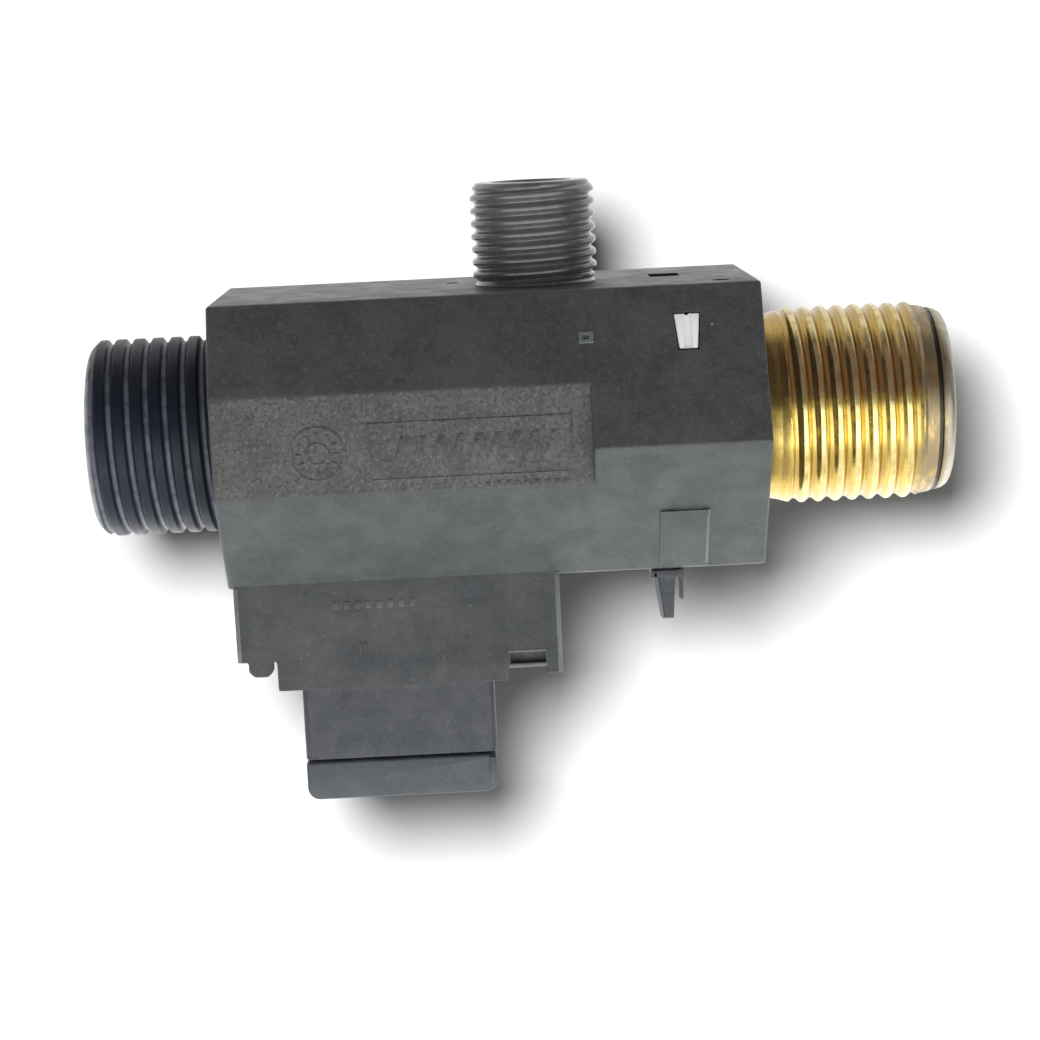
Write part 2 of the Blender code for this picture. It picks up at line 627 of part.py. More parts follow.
def make_coil(steel, bobbin_look, copper):
    centre = (COIL_X, 0, 0)
    bore_r = TUBE_R + TUBE_WALL + GAP
    low, high = BOBBIN_Z
    inner = (low + BOBBIN_FLANGE_T, high - BOBBIN_FLANGE_T)
    bobbin = [
        (bore_r, low), (BOBBIN_FLANGE_R, low), (BOBBIN_FLANGE_R, inner[0]), (BOBBIN_R, inner[0]),
        (BOBBIN_R, inner[1]), (BOBBIN_FLANGE_R, inner[1]), (BOBBIN_FLANGE_R, high), (bore_r, high),
    ]
    dress(turned("coil_bobbin", bobbin, 32, centre), bobbin_look)
    wound = (inner[0] + GAP, inner[1] - GAP)
    winding = [
        (BOBBIN_R + GAP, wound[0]), (WINDING_R, wound[0]),
        (WINDING_R, wound[1]), (BOBBIN_R + GAP, wound[1]),
    ]
    dress(turned("coil_winding", winding, 32, centre), copper)
    flux = block("flux_plate", YOKE_X, spread(YOKE_HALF_Y), FLUX_Z)
    cut(flux, cylinder("bore", bore_r, FLUX_Z[0] - OVER, FLUX_Z[1] + OVER, 32, centre))
    dress(flux, steel)
    yoke = block("coil_yoke", YOKE_X, spread(YOKE_HALF_Y), (WEB_Z[0], FLUX_Z[0] - GAP))
    arms = (YOKE_X[0] + YOKE_T, YOKE_X[1] - YOKE_T)
    cut(
        yoke,
        block("window", arms, spread(YOKE_HALF_Y + OVER), (WEB_Z[1], 0)),
        cylinder("bore", STUD_R + GAP, WEB_Z[0] - OVER, WEB_Z[1] + OVER, 20, centre),
    )
    dress(yoke, steel)


def rounded(x, y, radius):
    """Rectangle outline with its four corners cut round in three steps."""
    outline = []
    corners = ((x[1], y[1], 0), (x[0], y[1], 90), (x[0], y[0], 180), (x[1], y[0], 270))
    for corner_x, corner_y, start in corners:
        centre_x = corner_x - math.copysign(radius, corner_x - sum(x) / 2)
        centre_y = corner_y - math.copysign(radius, corner_y - sum(y) / 2)
        for step in range(4):
            angle = math.radians(start + 30 * step)
            outline.append((centre_x + radius * math.cos(angle),
                            centre_y + radius * math.sin(angle)))
    return outline


def socket_cutter(z):
    """Mouth of the plug socket, with a key rib along its back."""
    mouth = block("mouth", SOCKET_X, spread(SOCKET_HALF_Y), z)
    key = block("key", (COIL_X - SOCKET_KEY, COIL_X + SOCKET_KEY),
                (SOCKET_HALF_Y - SOCKET_KEY, SOCKET_HALF_Y + OVER), (z[0] - OVER, z[1] + OVER))
    cut(mouth, key)
    return mouth


def pin_places():
    return [(1, COIL_X - PIN_OFFSET), (2, COIL_X + PIN_OFFSET)]


def make_case(case_look, cap_look, pin_look):
    """Coil case, the cap that carries on its plug socket, and two blades."""
    case = prism("coil_case", rounded(CASE_X, spread(CASE_HALF_Y), 0.8), *CASE_Z)
    inside = (CASE_X[0] + CASE_WALL, CASE_X[1] - CASE_WALL)
    cut(
        case,
        block("coil_space", inside, spread(CASE_HALF_Y - CASE_WALL), (FLOOR_Z[1], 0)),
        socket_cutter((CASE_Z[0] - OVER, FLOOR_Z[0])),
    )
    cap = prism("terminal_cap", rounded_cap(), -CASE_HALF_Y, CASE_HALF_Y, axis="Y")
    rib = block("rib", (CAP_X[1] - 0.8, CAP_X[1] - 0.1), (-CASE_HALF_Y - 0.3, 0),
                (CAP_Z[0] + 1.0, CAP_Z[1] - 0.2))
    join(cap, rib)
    cut(cap, socket_cutter((CAP_Z[0] - OVER, CAP_Z[1] + OVER)))
    for number, x in pin_places():
        pin_x = (x - PIN_T / 2, x + PIN_T / 2)
        cut(case, block("pin_slot", (pin_x[0] - GAP, pin_x[1] + GAP), spread(PIN_HALF_Y + GAP),
                        (FLOOR_Z[0] - OVER, FLOOR_Z[1] + OVER)))
        tip = [
            (PIN_Z[0], -PIN_HALF_Y + 0.6), (PIN_Z[0], PIN_HALF_Y - 0.6),
            (PIN_Z[0] + 0.8, PIN_HALF_Y), (PIN_Z[1], PIN_HALF_Y),
            (PIN_Z[1], -PIN_HALF_Y), (PIN_Z[0] + 0.8, -PIN_HALF_Y),
        ]
        blade = prism(f"terminal_pin_{number}", [(y, z) for z, y in tip], *pin_x, axis="X")
        dress(blade, pin_look)
    dress(case, case_look)
    dress(cap, cap_look)


def rounded_cap():
    """Front outline (z, x) of the cap, with its two lower corners rounded."""
    (left, right), (low, high), radius = CAP_X, CAP_Z, CAP_CORNER_R
    outline = [(high, left), (high, right)]
    for centre_x, start in ((right - radius, 0), (left + radius, 90)):
        for step in range(5):
            angle = math.radians(start + 22.5 * step)
            outline.append((low + radius - radius * math.sin(angle),
                            centre_x + radius * math.cos(angle)))
    return outline


def make_clip(look):
    """Wiring clip: plate, root in the body, and three prongs below it."""
    clip = block("wire_clip", CLIP_X, CLIP_Y, CLIP_PLATE_Z)
    join(clip, block("root", CLIP_ROOT_X, CLIP_ROOT_Y, (CLIP_PLATE_Z[0] + 0.2, CLIP_ROOT_Z)))
    top = CLIP_PLATE_Z[1] - 0.2
    prongs = {
        "edge": ((58.3, 58.7, 58.9, 59.2), (CLIP_Y[0], CLIP_Y[0] + 1.0), CLIP_TIP_Z + 0.6),
        "leg": ((59.1, 60.7, 59.2, 60.4), (CLIP_Y[0] + 0.3, CLIP_Y[0] + 2.2), CLIP_TIP_Z),
        "post": ((61.1, 61.5, 61.1, 61.5), (CLIP_Y[0] + 0.3, CLIP_Y[0] + 2.6), CLIP_TIP_Z + 2.0),
    }
    for name, ((left, right, tip_left, tip_right), y, tip_z) in prongs.items():
        outline = [(top, left), (top, right), (tip_z, tip_right), (tip_z, tip_left)]
        join(clip, prism(name, outline, *y, axis="Y"))
    dress(clip, look)


def build():
    clear_scene()
    black = material("black_polyamide", (0.065, 0.065, 0.068), 0.55)
    housing_grey = material("coil_resin", (0.085, 0.09, 0.095), 0.5)
    cap_grey = material("cap_resin", (0.11, 0.115, 0.12), 0.5)
    brass = material("brass", (0.72, 0.50, 0.16), 0.28, 1.0)
    white = material("white_acetal", (0.82, 0.82, 0.8), 0.4)
    rubber = material("black_rubber", (0.02, 0.02, 0.02), 0.75)
    steel = material("zinc_steel", (0.55, 0.56, 0.57), 0.35, 1.0)
    stainless = material("stainless_steel", (0.6, 0.6, 0.6), 0.25, 1.0)
    copper = material("copper_wire", (0.62, 0.26, 0.12), 0.3, 1.0)
    tinned = material("tinned_brass", (0.7, 0.68, 0.62), 0.3, 1.0)
    gauze = material("steel_gauze", (0.5, 0.5, 0.5), 0.4, 1.0)

    armature = axis_empty("armature_axis", (COIL_X, 0, 0))
    outlet = axis_empty("outlet_axis", (BODY_X[1], 0, 0))
    fork = axis_empty("fork_axis", (LEG_X, 0, 0))

    make_body(black)
    make_inlet_spigot(black)
    make_branch_spigot(black)
    make_strainer(white, gauze)
    make_seat(brass)
    make_outlet_tail(brass, outlet)
    for number, (start, end) in enumerate(GROOVES, 1):
        middle = ((start + end) / 2, 0, 0)
        make_o_ring(f"outlet_o_ring_{number}", 8.12, 0.78, middle, "X", rubber, outlet)
    make_fork(white, fork)
    make_bonnet(steel, rubber, steel)
    make_armature(stainless, white, rubber, stainless, armature)
    make_guide(stainless, stainless, steel)
    make_coil(steel, white, copper)
    make_case(housing_grey, cap_grey, tinned)
    make_clip(black)


build()
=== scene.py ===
"""Looks of a plastic-bodied solenoid valve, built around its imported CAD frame.

Row frame: the origin is the centre of the inlet's end face, +X runs along the
flow, +Y goes to the back of the valve and +Z points up, along the branch port.
Pieces are shaped in millimetres, in the row frame, and finish_piece() brings them
to metres.
"""

import math

import bmesh
import bpy
import numpy as np
from mathutils import Matrix, Vector


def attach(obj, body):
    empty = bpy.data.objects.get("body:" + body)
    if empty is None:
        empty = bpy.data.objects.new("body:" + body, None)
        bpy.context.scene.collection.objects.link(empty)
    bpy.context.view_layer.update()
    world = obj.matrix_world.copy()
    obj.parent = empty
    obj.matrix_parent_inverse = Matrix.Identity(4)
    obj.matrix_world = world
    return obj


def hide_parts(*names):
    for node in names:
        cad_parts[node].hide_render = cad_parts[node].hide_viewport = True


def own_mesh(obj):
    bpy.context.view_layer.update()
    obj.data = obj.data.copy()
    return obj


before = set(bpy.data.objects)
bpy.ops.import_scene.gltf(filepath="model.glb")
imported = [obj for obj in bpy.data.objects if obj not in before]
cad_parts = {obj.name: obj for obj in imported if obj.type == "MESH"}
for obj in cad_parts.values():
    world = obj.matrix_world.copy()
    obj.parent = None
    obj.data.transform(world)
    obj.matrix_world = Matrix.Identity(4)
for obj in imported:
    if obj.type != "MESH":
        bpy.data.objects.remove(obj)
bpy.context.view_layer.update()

MM = 0.001
GAP = 0.3  # clearance between two pieces that touch in the real valve
WINDOW_GAP = 0.12  # clearance round the fork's upper leg, which shows in its window
OVER = 1.0  # how far a cutter runs past the face it cuts
MERGE = 1e-4
ROUND_SIDES = 72
FINE_SIDES = 120

# Hexagonal body, seen along X
BODY_X = (13.75, 70.15)
TOP_HALF, TOP_Z = 12.9, 14.5
RIDGE_HALF, RIDGE_Z = 20.3, -1.0
BASE_HALF, BASE_Z = 8.9, -15.5
FLAT_HALF, FLAT_END = 17.2, 52.2
FACET_SLOPE = (RIDGE_HALF - TOP_HALF) / (TOP_Z - RIDGE_Z)
BASE_SLOPE = (RIDGE_HALF - BASE_HALF) / (RIDGE_Z - BASE_Z)
EDGE = 0.32  # radius of the body's moulded edges

# Ports: crest radius, root radius and pitch of each thread, then where its crest
# ends and its root begins, as shares of half a pitch
INLET_THREAD = (10.478, 9.95, 1.94, 0.42, 0.92)
TAIL_THREAD = (10.478, 10.02, 1.814, 0.1, 0.95)
BRANCH_THREAD = (6.58, 6.08, 1.337, 0.22, 0.95)
BORE_R, SOCKET_R, CHANNEL_R = 6.5, 9.1, 6.0
BRANCH_X, BRANCH_RIM_Z, BRANCH_BORE_R = 47.55, 25.2, 4.0
INLET_CREST_X, TAIL_CREST_X, BRANCH_CREST_Z = 1.8, 74.6, 23.9
INLET_SEAT, BRANCH_SEAT = (8.7, 20.7), (5.7, 9.8)  # radius, then where each ends
INLET_SHANK, BRANCH_SHANK = (8.4, 20.4), (5.4, 10.1)
THREAD_STEP = 0.085  # spacing of the rings that draw a thread

# Outlet tail piece
TAIL_START, TAIL_END, SHANK_R = 54.0, 90.5, 8.8
GROOVE_R, GROOVES = 7.2, ((54.9, 56.6), (57.5, 59.2))
FORK_GROOVE, FORK_GROOVE_R = (60.6, 64.2), 7.8
NECK_R, TAIL_THREAD_X = 9.75, (70.9, 87.4)
# RIM_SLIT_X places a line of painted shade in the narrow groove round the tail's end.
RIM_SLIT_X = (88.55, 88.75, 89.1, 89.3)  # where the dark line round its end fades in and out

# Locking fork
LEG_X, LEG_TOP_HALF, LEG_FOOT_HALF = 62.35, 1.32, 0.95
LEG_Z = (8.2, 11.6)
LOWER_LEG_TIP_Y = -9.6
BRIDGE_Y = (15.0, 18.4)

# Lower housing
HOUSING_X, HOUSING_HALF_Y, HOUSING_TOP_Z = (14.3, 48.4), 9.2, -12.0
CAVITY_X, CAVITY_HALF_Y, CAVITY_Z = (15.1, 47.2), 8.0, -14.5
COIL_X = 30.95
SCREW_X, SCREW_Y = 13.05, 5.0  # distances of the four screws from the coil's axis

# Coil case and terminal cap
CASE_X, CASE_HALF_Y, CASE_Z = (20.7, 41.1), 7.6, (-34.6, -17.8)
FLOOR_Z = (-32.1, -30.9)
CAP_X, CAP_Z = (20.7, 41.0), (-39.0, -34.9)
SOCKET_X, SOCKET_HALF_Y, SOCKET_KEY = (23.0, 38.9), 5.6, 1.2
PIN_OFFSET, PIN_HALF_Y, PIN_T, PIN_Z = 4.6, 1.4, 0.8, (-37.2, -29.6)

# Studio, its camera and lamp in metres
BACKDROP_CENTRE = (44.7, RIDGE_HALF + 1.0, -9.0)
BACKDROP_R, BACKDROP_FADE = 150.0, 85.0
PAPER_ALBEDO = 0.07
LAMP_AT, LAMP_SIZE, LAMP_POWER = (-0.010, -0.272, 0.092), 0.12, 13.5
CAMERA_AT, CAMERA_LENS = (0.04147, -0.27207, 0.03418), 88.44
CAMERA_TURN = (80.54849, 2.67532, -1.13088)

AXES = {
    "X": Matrix(((0, 0, 1), (1, 0, 0), (0, 1, 0))),
    "Y": Matrix(((0, 1, 0), (0, 0, 1), (1, 0, 0))),
    "Z": Matrix.Identity(3),
}


# ---------------------------------------------------------------- shapes

def spread(half):
    return (-half, half)


def rectangle(u, v):
    return [(u[0], v[0]), (u[1], v[0]), (u[1], v[1]), (u[0], v[1])]


def arc(centre, radius, start, end, steps):
    """Points of an arc between two angles in degrees."""
    angles = [math.radians(start + (end - start) * step / steps) for step in range(steps + 1)]
    return [(centre[0] + radius * math.cos(a), centre[1] + radius * math.sin(a)) for a in angles]


def circle(centre, radius, sides):
    return arc(centre, radius, 0, 360, sides)[:-1]


def add_object(name, data):
    obj = bpy.data.objects.new(name, data)
    bpy.context.collection.objects.link(obj)
    return obj


def round_edges(bm, width, segments, sharp=20):
    """Round every edge of bm that turns more than sharp degrees."""
    limit = math.radians(sharp)
    edges = [e for e in bm.edges if len(e.link_faces) == 2 and e.calc_face_angle(0) > limit]
    bmesh.ops.bevel(
        bm, geom=edges, offset=width, offset_type="OFFSET", segments=segments,
        profile=0.5, affect="EDGES", clamp_overlap=True,
    )


def solid(name, bm, centre=(0, 0, 0), axis="Z", edge=0.0, segments=3):
    """Object from bm, which is drawn in mm about a local Z axis, with rounded edges."""
    bmesh.ops.transform(bm, matrix=AXES[axis].to_4x4(), verts=bm.verts)
    bmesh.ops.translate(bm, vec=centre, verts=bm.verts)
    bmesh.ops.remove_doubles(bm, verts=bm.verts, dist=MERGE)
    bmesh.ops.dissolve_degenerate(bm, edges=bm.edges, dist=MERGE)
    bmesh.ops.recalc_face_normals(bm, faces=bm.faces)
    if edge:
        round_edges(bm, edge, segments)
    mesh = bpy.data.meshes.new(name)
    bm.to_mesh(mesh)
    bm.free()
    return add_object(name, mesh)


def prism(name, outline, low, high, **placing):
    """Extrude a closed outline of (u, v) points from low to high; placing goes to solid()."""
    bm = bmesh.new()
    base = bm.faces.new([bm.verts.new((u, v, low)) for u, v in outline])
    extruded = bmesh.ops.extrude_face_region(bm, geom=[base])
    moved = [item for item in extruded["geom"] if isinstance(item, bmesh.types.BMVert)]
    bmesh.ops.translate(bm, vec=(0, 0, high - low), verts=moved)
    return solid(name, bm, **placing)


def block(name, x, y, z, **placing):
    return prism(name, rectangle(x, y), *z, **placing)


def turned(name, outline, sides=ROUND_SIDES, **placing):
    """Solid of revolution; outline is a closed loop of (radius, height)."""
    bm = bmesh.new()
    verts = [bm.verts.new((radius, 0, height)) for radius, height in outline]
    edges = [
        bm.edges.new((first, second))
        for first, second in zip(verts, verts[1:] + verts[:1])
        if first.co.x > 0 or second.co.x > 0
    ]
    bmesh.ops.spin(
        bm, geom=verts + edges, cent=(0, 0, 0), axis=(0, 0, 1),
        angle=2 * math.pi, steps=sides, use_merge=True,
    )
    return solid(name, bm, **placing)


def cylinder(name, radius, low, high, sides=ROUND_SIDES, **placing):
    outline = [(0, low), (radius, low), (radius, high), (0, high)]
    return turned(name, outline, sides, **placing)


def softened(outline, width, steps=3):
    """The same closed outline with each of its corners rounded by about width."""
    points = [Vector(point) for point in outline]
    soft = []
    for before, here, after in zip(points[-1:] + points[:-1], points, points[1:] + points[:1]):
        start = here + (before - here).normalized() * width
        end = here + (after - here).normalized() * width
        for step in range(steps + 1):
            share = step / steps
            low, high = start.lerp(here, share), here.lerp(end, share)
            soft.append(tuple(low.lerp(high, share)))
    return soft


def bridge(bm, ring, following):
    """Faces from each side of a ring of vertices to the same side of the next ring."""
    for side in range(len(ring)):
        nearby = (side + 1) % len(ring)
        bm.faces.new((ring[side], ring[nearby], following[nearby], following[side]))


def combine(base, tool, operation):
    modifier = base.modifiers.new("combine", "BOOLEAN")
    modifier.operation = operation
    modifier.solver = "EXACT"
    modifier.object = tool
    depsgraph = bpy.context.evaluated_depsgraph_get()
    mesh = bpy.data.meshes.new_from_object(base.evaluated_get(depsgraph))
    base.modifiers.remove(modifier)
    bm = bmesh.new()
    bm.from_mesh(mesh)
    bmesh.ops.remove_doubles(bm, verts=bm.verts, dist=MERGE)
    bmesh.ops.dissolve_degenerate(bm, edges=bm.edges, dist=MERGE)
    bm.to_mesh(mesh)
    bm.free()
    base.data = mesh
    bpy.data.objects.remove(tool)


def join(base, *tools):
    for tool in tools:
        combine(base, tool, "UNION")
    return base


def cut(base, *tools):
    for tool in tools:
        combine(base, tool, "DIFFERENCE")
    return base


def finish_piece(obj, look, node, body="valve", smooth=32):
    """Bring a piece to metres, give it its look, shading and body, and hide the CAD node it stands
    for.
    """
    obj.data.transform(Matrix.Scale(MM, 4))
    obj.data.materials.clear()
    obj.data.materials.append(LOOKS[look])
    obj.data.shade_smooth()
    obj.data.set_sharp_from_angle(angle=math.radians(smooth))
    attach(obj, body)
    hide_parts(node)


def thread_radius(turn, size):
    """Radius of a rounded, slightly worn pipe thread, turn pitches away from a crest."""
    crest_r, root_r, _, crest_edge, root_edge = size
    away = 2 * np.abs(turn - np.round(turn))
    share = np.clip((root_edge - away) / (root_edge - crest_edge), 0, 1)
    return root_r + (crest_r - root_r) * share * share * (3 - 2 * share)


def threaded(name, before, thread, after, size, crest_at, limit, axis, **placing):
    """Closed turned solid whose outer wall carries a right-hand thread.

    before and after are the outline's (radius, height) points up to the thread and
    past it. crest_at is a height where a crest meets the valve's front side.
    limit(heights) is the largest radius at those heights.
    """
    low, high = thread
    heights = np.linspace(low, high, round((high - low) / THREAD_STEP) + 1)
    front = math.pi if axis == "X" else -math.pi / 2
    angles = np.linspace(0, 2 * math.pi, FINE_SIDES, endpoint=False)
    outline_h = np.array([h for _, h in before] + list(heights) + [h for _, h in after])
    radii = np.zeros((len(outline_h), FINE_SIDES))
    radii[:len(before)] = np.array([r for r, _ in before])[:, None]
    radii[len(before) + len(heights):] = np.array([r for r, _ in after])[:, None]
    turn = (heights[:, None] - crest_at) / size[2] - (angles[None, :] - front) / (2 * math.pi)
    radii[len(before):len(before) + len(heights)] = np.minimum(
        thread_radius(turn, size), limit(heights)[:, None])
    bm = bmesh.new()
    rings = [
        [bm.verts.new((r * math.cos(a), r * math.sin(a), h)) for r, a in zip(row, angles)]
        for row, h in zip(radii, outline_h)
    ]
    for ring, following in zip(rings, rings[1:] + rings[:1]):
        bridge(bm, ring, following)
    return solid(name, bm, axis=axis, **placing)


def ramps(*points):
    """Radius limit through (height, radius) points, for threaded()."""
    heights, radii = zip(*points)
    return lambda h: np.interp(h, heights, radii)


# ---------------------------------------------------------------- materials

class Nodes:
    """Shader nodes of a material or world."""

    def __init__(self, owner):
        owner.use_nodes = True
        self.tree = owner.node_tree

    def link(self, source, target):
        """Feed a socket from another one, or give it a number, vector or colour."""
        if isinstance(source, bpy.types.NodeSocket):
            self.tree.links.new(source, target)
        elif isinstance(source, (int, float)) or len(source) == len(target.default_value):
            target.default_value = source
        else:
            target.default_value = (*source, 1.0)

    def node(self, kind, inputs=None, output=0, **settings):
        """Add a node, feed its inputs, and return one of its outputs."""
        made = self.tree.nodes.new("ShaderNode" + kind)
        for name, value in settings.items():
            setattr(made, name, value)
        for socket, value in (inputs or {}).items():
            self.link(value, made.inputs[socket])
        return made.outputs[output]

    def split(self, vector):
        return tuple(self.node("SeparateXYZ", {0: vector}).node.outputs)

    def maths(self, operation, first, second=0.0):
        return self.node("Math", {0: first, 1: second}, operation=operation)

    def times(self, first, second):
        return self.maths("MULTIPLY", first, second)

    def vector_maths(self, operation, first, second, output="Value"):
        return self.node("VectorMath", {0: first, 1: second}, output, operation=operation)

    def band(self, value, low, high, to_low=0.0, to_high=1.0):
        """Smooth step from to_low, where value is low, to to_high, where it is high."""
        inputs = {"Value": value, "From Min": low, "From Max": high,
                  "To Min": to_low, "To Max": to_high}
        return self.node("MapRange", inputs, "Result", interpolation_type="SMOOTHSTEP")

    def mix(self, share, first, second):
        return self.node("Mix", {0: share, 6: first, 7: second}, 2, data_type="RGBA")


class Look(Nodes):
    """A procedural material, with its coordinates in millimetres of the row frame."""

    def __init__(self, name):
        self.material = bpy.data.materials.new(name)
        super().__init__(self.material)
        self.shader = self.tree.nodes["Principled BSDF"]
        place = self.node("TexCoord", output="Object")
        self.place = self.node("VectorMath", {0: place, "Scale": 1 / MM}, operation="SCALE")
        self.colour = None

    def paint(self, share, colour):
        """Lay a colour over what is painted so far."""
        self.colour = self.mix(share, self.colour, colour)

    def noise(self, size, detail=4.0, rough=0.55, warp=0.0, stretch=None):
        """Noise with blotches about size mm across."""
        place = self.place
        if stretch:
            place = self.vector_maths("MULTIPLY", place, stretch, "Vector")
        inputs = {"Vector": place, "Scale": 1 / size, "Detail": detail, "Roughness": rough,
                  "Distortion": warp}
        return self.node("TexNoise", inputs, "Fac")

    def cells(self, size):
        return self.node("TexVoronoi", {"Vector": self.place, "Scale": 1 / size}, "Distance")

    def worn_edges(self, radius=0.35):
        """1 on convex and concave edges, 0 on flat faces."""
        rounded = self.node("Bevel", {"Radius": radius * MM}, "Normal", samples=6)
        plain = self.node("NewGeometry", output="Normal")
        facing = self.vector_maths("DOT_PRODUCT", rounded, plain)
        return self.band(self.maths("SUBTRACT", 1.0, facing), 0.04, 0.3)

    def crevices(self, reach=1.6, high=0.85):
        """1 deep in corners and grooves, 0 in the open."""
        made = self.node("AmbientOcclusion", {"Distance": reach * MM}, "AO", samples=6)
        return self.band(made, 0.35, high, 1.0, 0.0)

    def from_axis(self):
        """Distance from the valve's X axis, in mm."""
        _, y, z = self.split(self.place)
        return self.maths("SQRT", self.maths("ADD", self.times(y, y), self.times(z, z)))

    def bump(self, *layers):
        """layers are (height, depth in mm) pairs, laid over each other."""
        below = {}
        for height, depth in layers:
            inputs = {"Strength": 1.0, "Distance": depth * MM, "Height": height}
            below = {"Normal": self.node("Bump", inputs | below, "Normal")}
        self.link(below["Normal"], self.shader.inputs["Normal"])

    def finish(self, rough, metallic=0.0, specular=0.5):
        for name, value in (("Base Color", self.colour), ("Roughness", rough),
                            ("Metallic", metallic), ("Specular IOR Level", specular)):
            self.link(value, self.shader.inputs[name])
        return self.material


def moulded(name, dark, light, dusty, gloss, grain_depth, grain_size=0.32, wear=0.35, dust=0.5,
            clouds=0.5, speckle=0.5, grit=0.0, brown=0.0, specular=0.5, painted_groove_highlight=None):
    """Injection-moulded plastic: cloudy colour, spark-eroded grain, dust and pale edges.

    clouds, speckle and grit are the strengths of its broad, small and finest mottling.
    painted_groove_highlight is the (colour, root radius) of a thread along X; that colour is a
    painted highlight along the thread's roots, and its end face gets a paler rim.
    """
    look = Look(name)
    broad = look.band(look.noise(4.2, detail=4.0, warp=0.5), 0.36, 0.66)
    small = look.band(look.noise(0.9, detail=6.0, rough=0.72), 0.4, 0.66)
    look.colour = look.mix(look.times(broad, clouds), dark, light)
    look.paint(look.times(small, speckle), light)
    if grit:
        grains = look.noise(0.36, detail=2.0, rough=0.5)
        look.paint(look.band(grains, 0.52, 0.68, 0.0, grit), dusty)
        pits = look.noise(0.42, detail=2.0, warp=0.3)
        look.paint(look.band(pits, 0.5, 0.36, 0.0, grit), tuple(0.5 * channel for channel in dark))
    if brown:
        patches = look.noise(3.4, detail=5.0, rough=0.65)
        look.paint(look.band(patches, 0.5, 0.68, 0.0, brown), (0.075, 0.062, 0.052))
    settled = look.times(look.crevices(), look.band(look.noise(1.1), 0.4, 0.7, 0.2, 1.0))
    specks = look.band(look.cells(2.3), 0.07, 0.02, 0.0, 0.55)
    look.paint(look.times(look.maths("MAXIMUM", settled, specks), dust), dusty)
    rubbed = look.times(look.worn_edges(), look.band(look.noise(1.6), 0.35, 0.6, 0.3, 1.0))
    look.paint(look.times(rubbed, wear), dusty)
    # Painted highlight: a pale line along the thread's roots stands in for the light they catch; a
    # paler rim is painted round the end face.
    if painted_groove_highlight:
        pale, root_r = painted_groove_highlight
        radius = look.from_axis()
        streaks = look.band(look.noise(1.8, detail=4.0), 0.3, 0.6, 0.45, 1.0)
        low = look.band(radius, root_r + 0.26, root_r + 0.02)
        look.paint(look.times(low, streaks), pale)
        end_face = look.band(look.split(look.place)[0], 0.75, 0.15)
        rim = look.times(end_face, look.band(radius, 8.9, 9.3))
        look.paint(look.times(rim, streaks), dusty)
    fine = look.noise(grain_size, detail=3.0, rough=0.6)
    look.bump((fine, grain_depth), (look.noise(5.0, detail=2.0), 0.02))
    return look.finish(look.band(look.noise(2.6, detail=5.0), 0.3, 0.7, *gloss), specular=specular)


def brass_look():
    """Machined brass with turning lines, brown tarnish smears, dark spots and a stained end, laid
    over painted reflections and shade: redder and darker bands by height, a painted highlight on the
    crests and painted shade in the roots, the crevices and the narrow groove round its end.
    """
    look = Look("tarnished_brass")
    turning = look.noise(0.11, detail=3.0, stretch=(1.0, 0.02, 0.02))
    smears = look.band(look.noise(2.1, detail=6.0, rough=0.65, warp=0.8), 0.48, 0.72)
    spots = look.band(look.noise(0.8, detail=4.0, rough=0.6), 0.69, 0.76)
    x, _, z = look.split(look.place)
    height = look.maths("ADD", z, look.times(look.noise(3.0, detail=3.0), 1.5))

    def lined(dark, light):
        return look.mix(look.band(turning, 0.35, 0.65), dark, light)

    look.colour = lined((0.76, 0.56, 0.14), (0.90, 0.71, 0.22))
    # Painted reflections by height: redder above the middle, dark olive at the top and darker
    # underneath.
    look.paint(look.band(height, 1.6, 3.2), lined((0.50, 0.26, 0.11), (0.84, 0.51, 0.22)))
    look.paint(look.band(height, 6.8, 8.8), lined((0.32, 0.21, 0.06), (0.46, 0.33, 0.10)))
    look.paint(look.band(height, -1.8, -4.2), lined((0.42, 0.29, 0.06), (0.58, 0.42, 0.11)))
    # Painted highlight along the thread's crests, broken up by noise, and painted shade in its roots.
    radius = look.from_axis()
    worn = look.band(look.noise(1.3, detail=4.0), 0.3, 0.6, 0.1, 0.55)
    look.paint(look.times(look.band(radius, 10.34, 10.46), worn), (0.88, 0.76, 0.42))
    look.paint(look.band(radius, 10.26, 10.12, 0.0, 0.45), (0.40, 0.25, 0.07))
    look.paint(look.times(smears, 0.45), (0.46, 0.32, 0.13))
    # Painted shade: darker brown in crevices.
    look.paint(look.times(look.crevices(reach=0.7, high=0.9), 0.5), (0.38, 0.24, 0.10))
    look.paint(look.times(spots, 0.8), (0.12, 0.055, 0.03))
    ragged = look.band(look.noise(0.9, detail=6.0, stretch=(1.0, 0.35, 0.35)), 0.3, 0.52, 0.3, 1.0)
    stained = look.times(look.band(x, 86.0, 87.3), ragged)
    look.paint(look.times(stained, 0.85), (0.27, 0.22, 0.15))
    # Painted shade: a dark line in the narrow groove round the end.
    start, dark_start, dark_end, end = RIM_SLIT_X
    slit = look.times(look.band(x, start, dark_start), look.band(x, end, dark_end))
    look.paint(slit, (0.07, 0.06, 0.045))
    look.paint(look.times(look.band(x, end, 89.8), ragged), (0.46, 0.43, 0.35))
    rough = look.band(look.noise(1.1, detail=4.0), 0.3, 0.7, 0.15, 0.27)
    for layer, roughness in ((smears, 0.12), (stained, 0.22)):
        rough = look.maths("ADD", rough, look.times(layer, roughness))
    look.bump((turning, 0.0018), (look.noise(0.6, detail=4.0), 0.005), (spots, -0.01))
    return look.finish(rough, metallic=1.0)


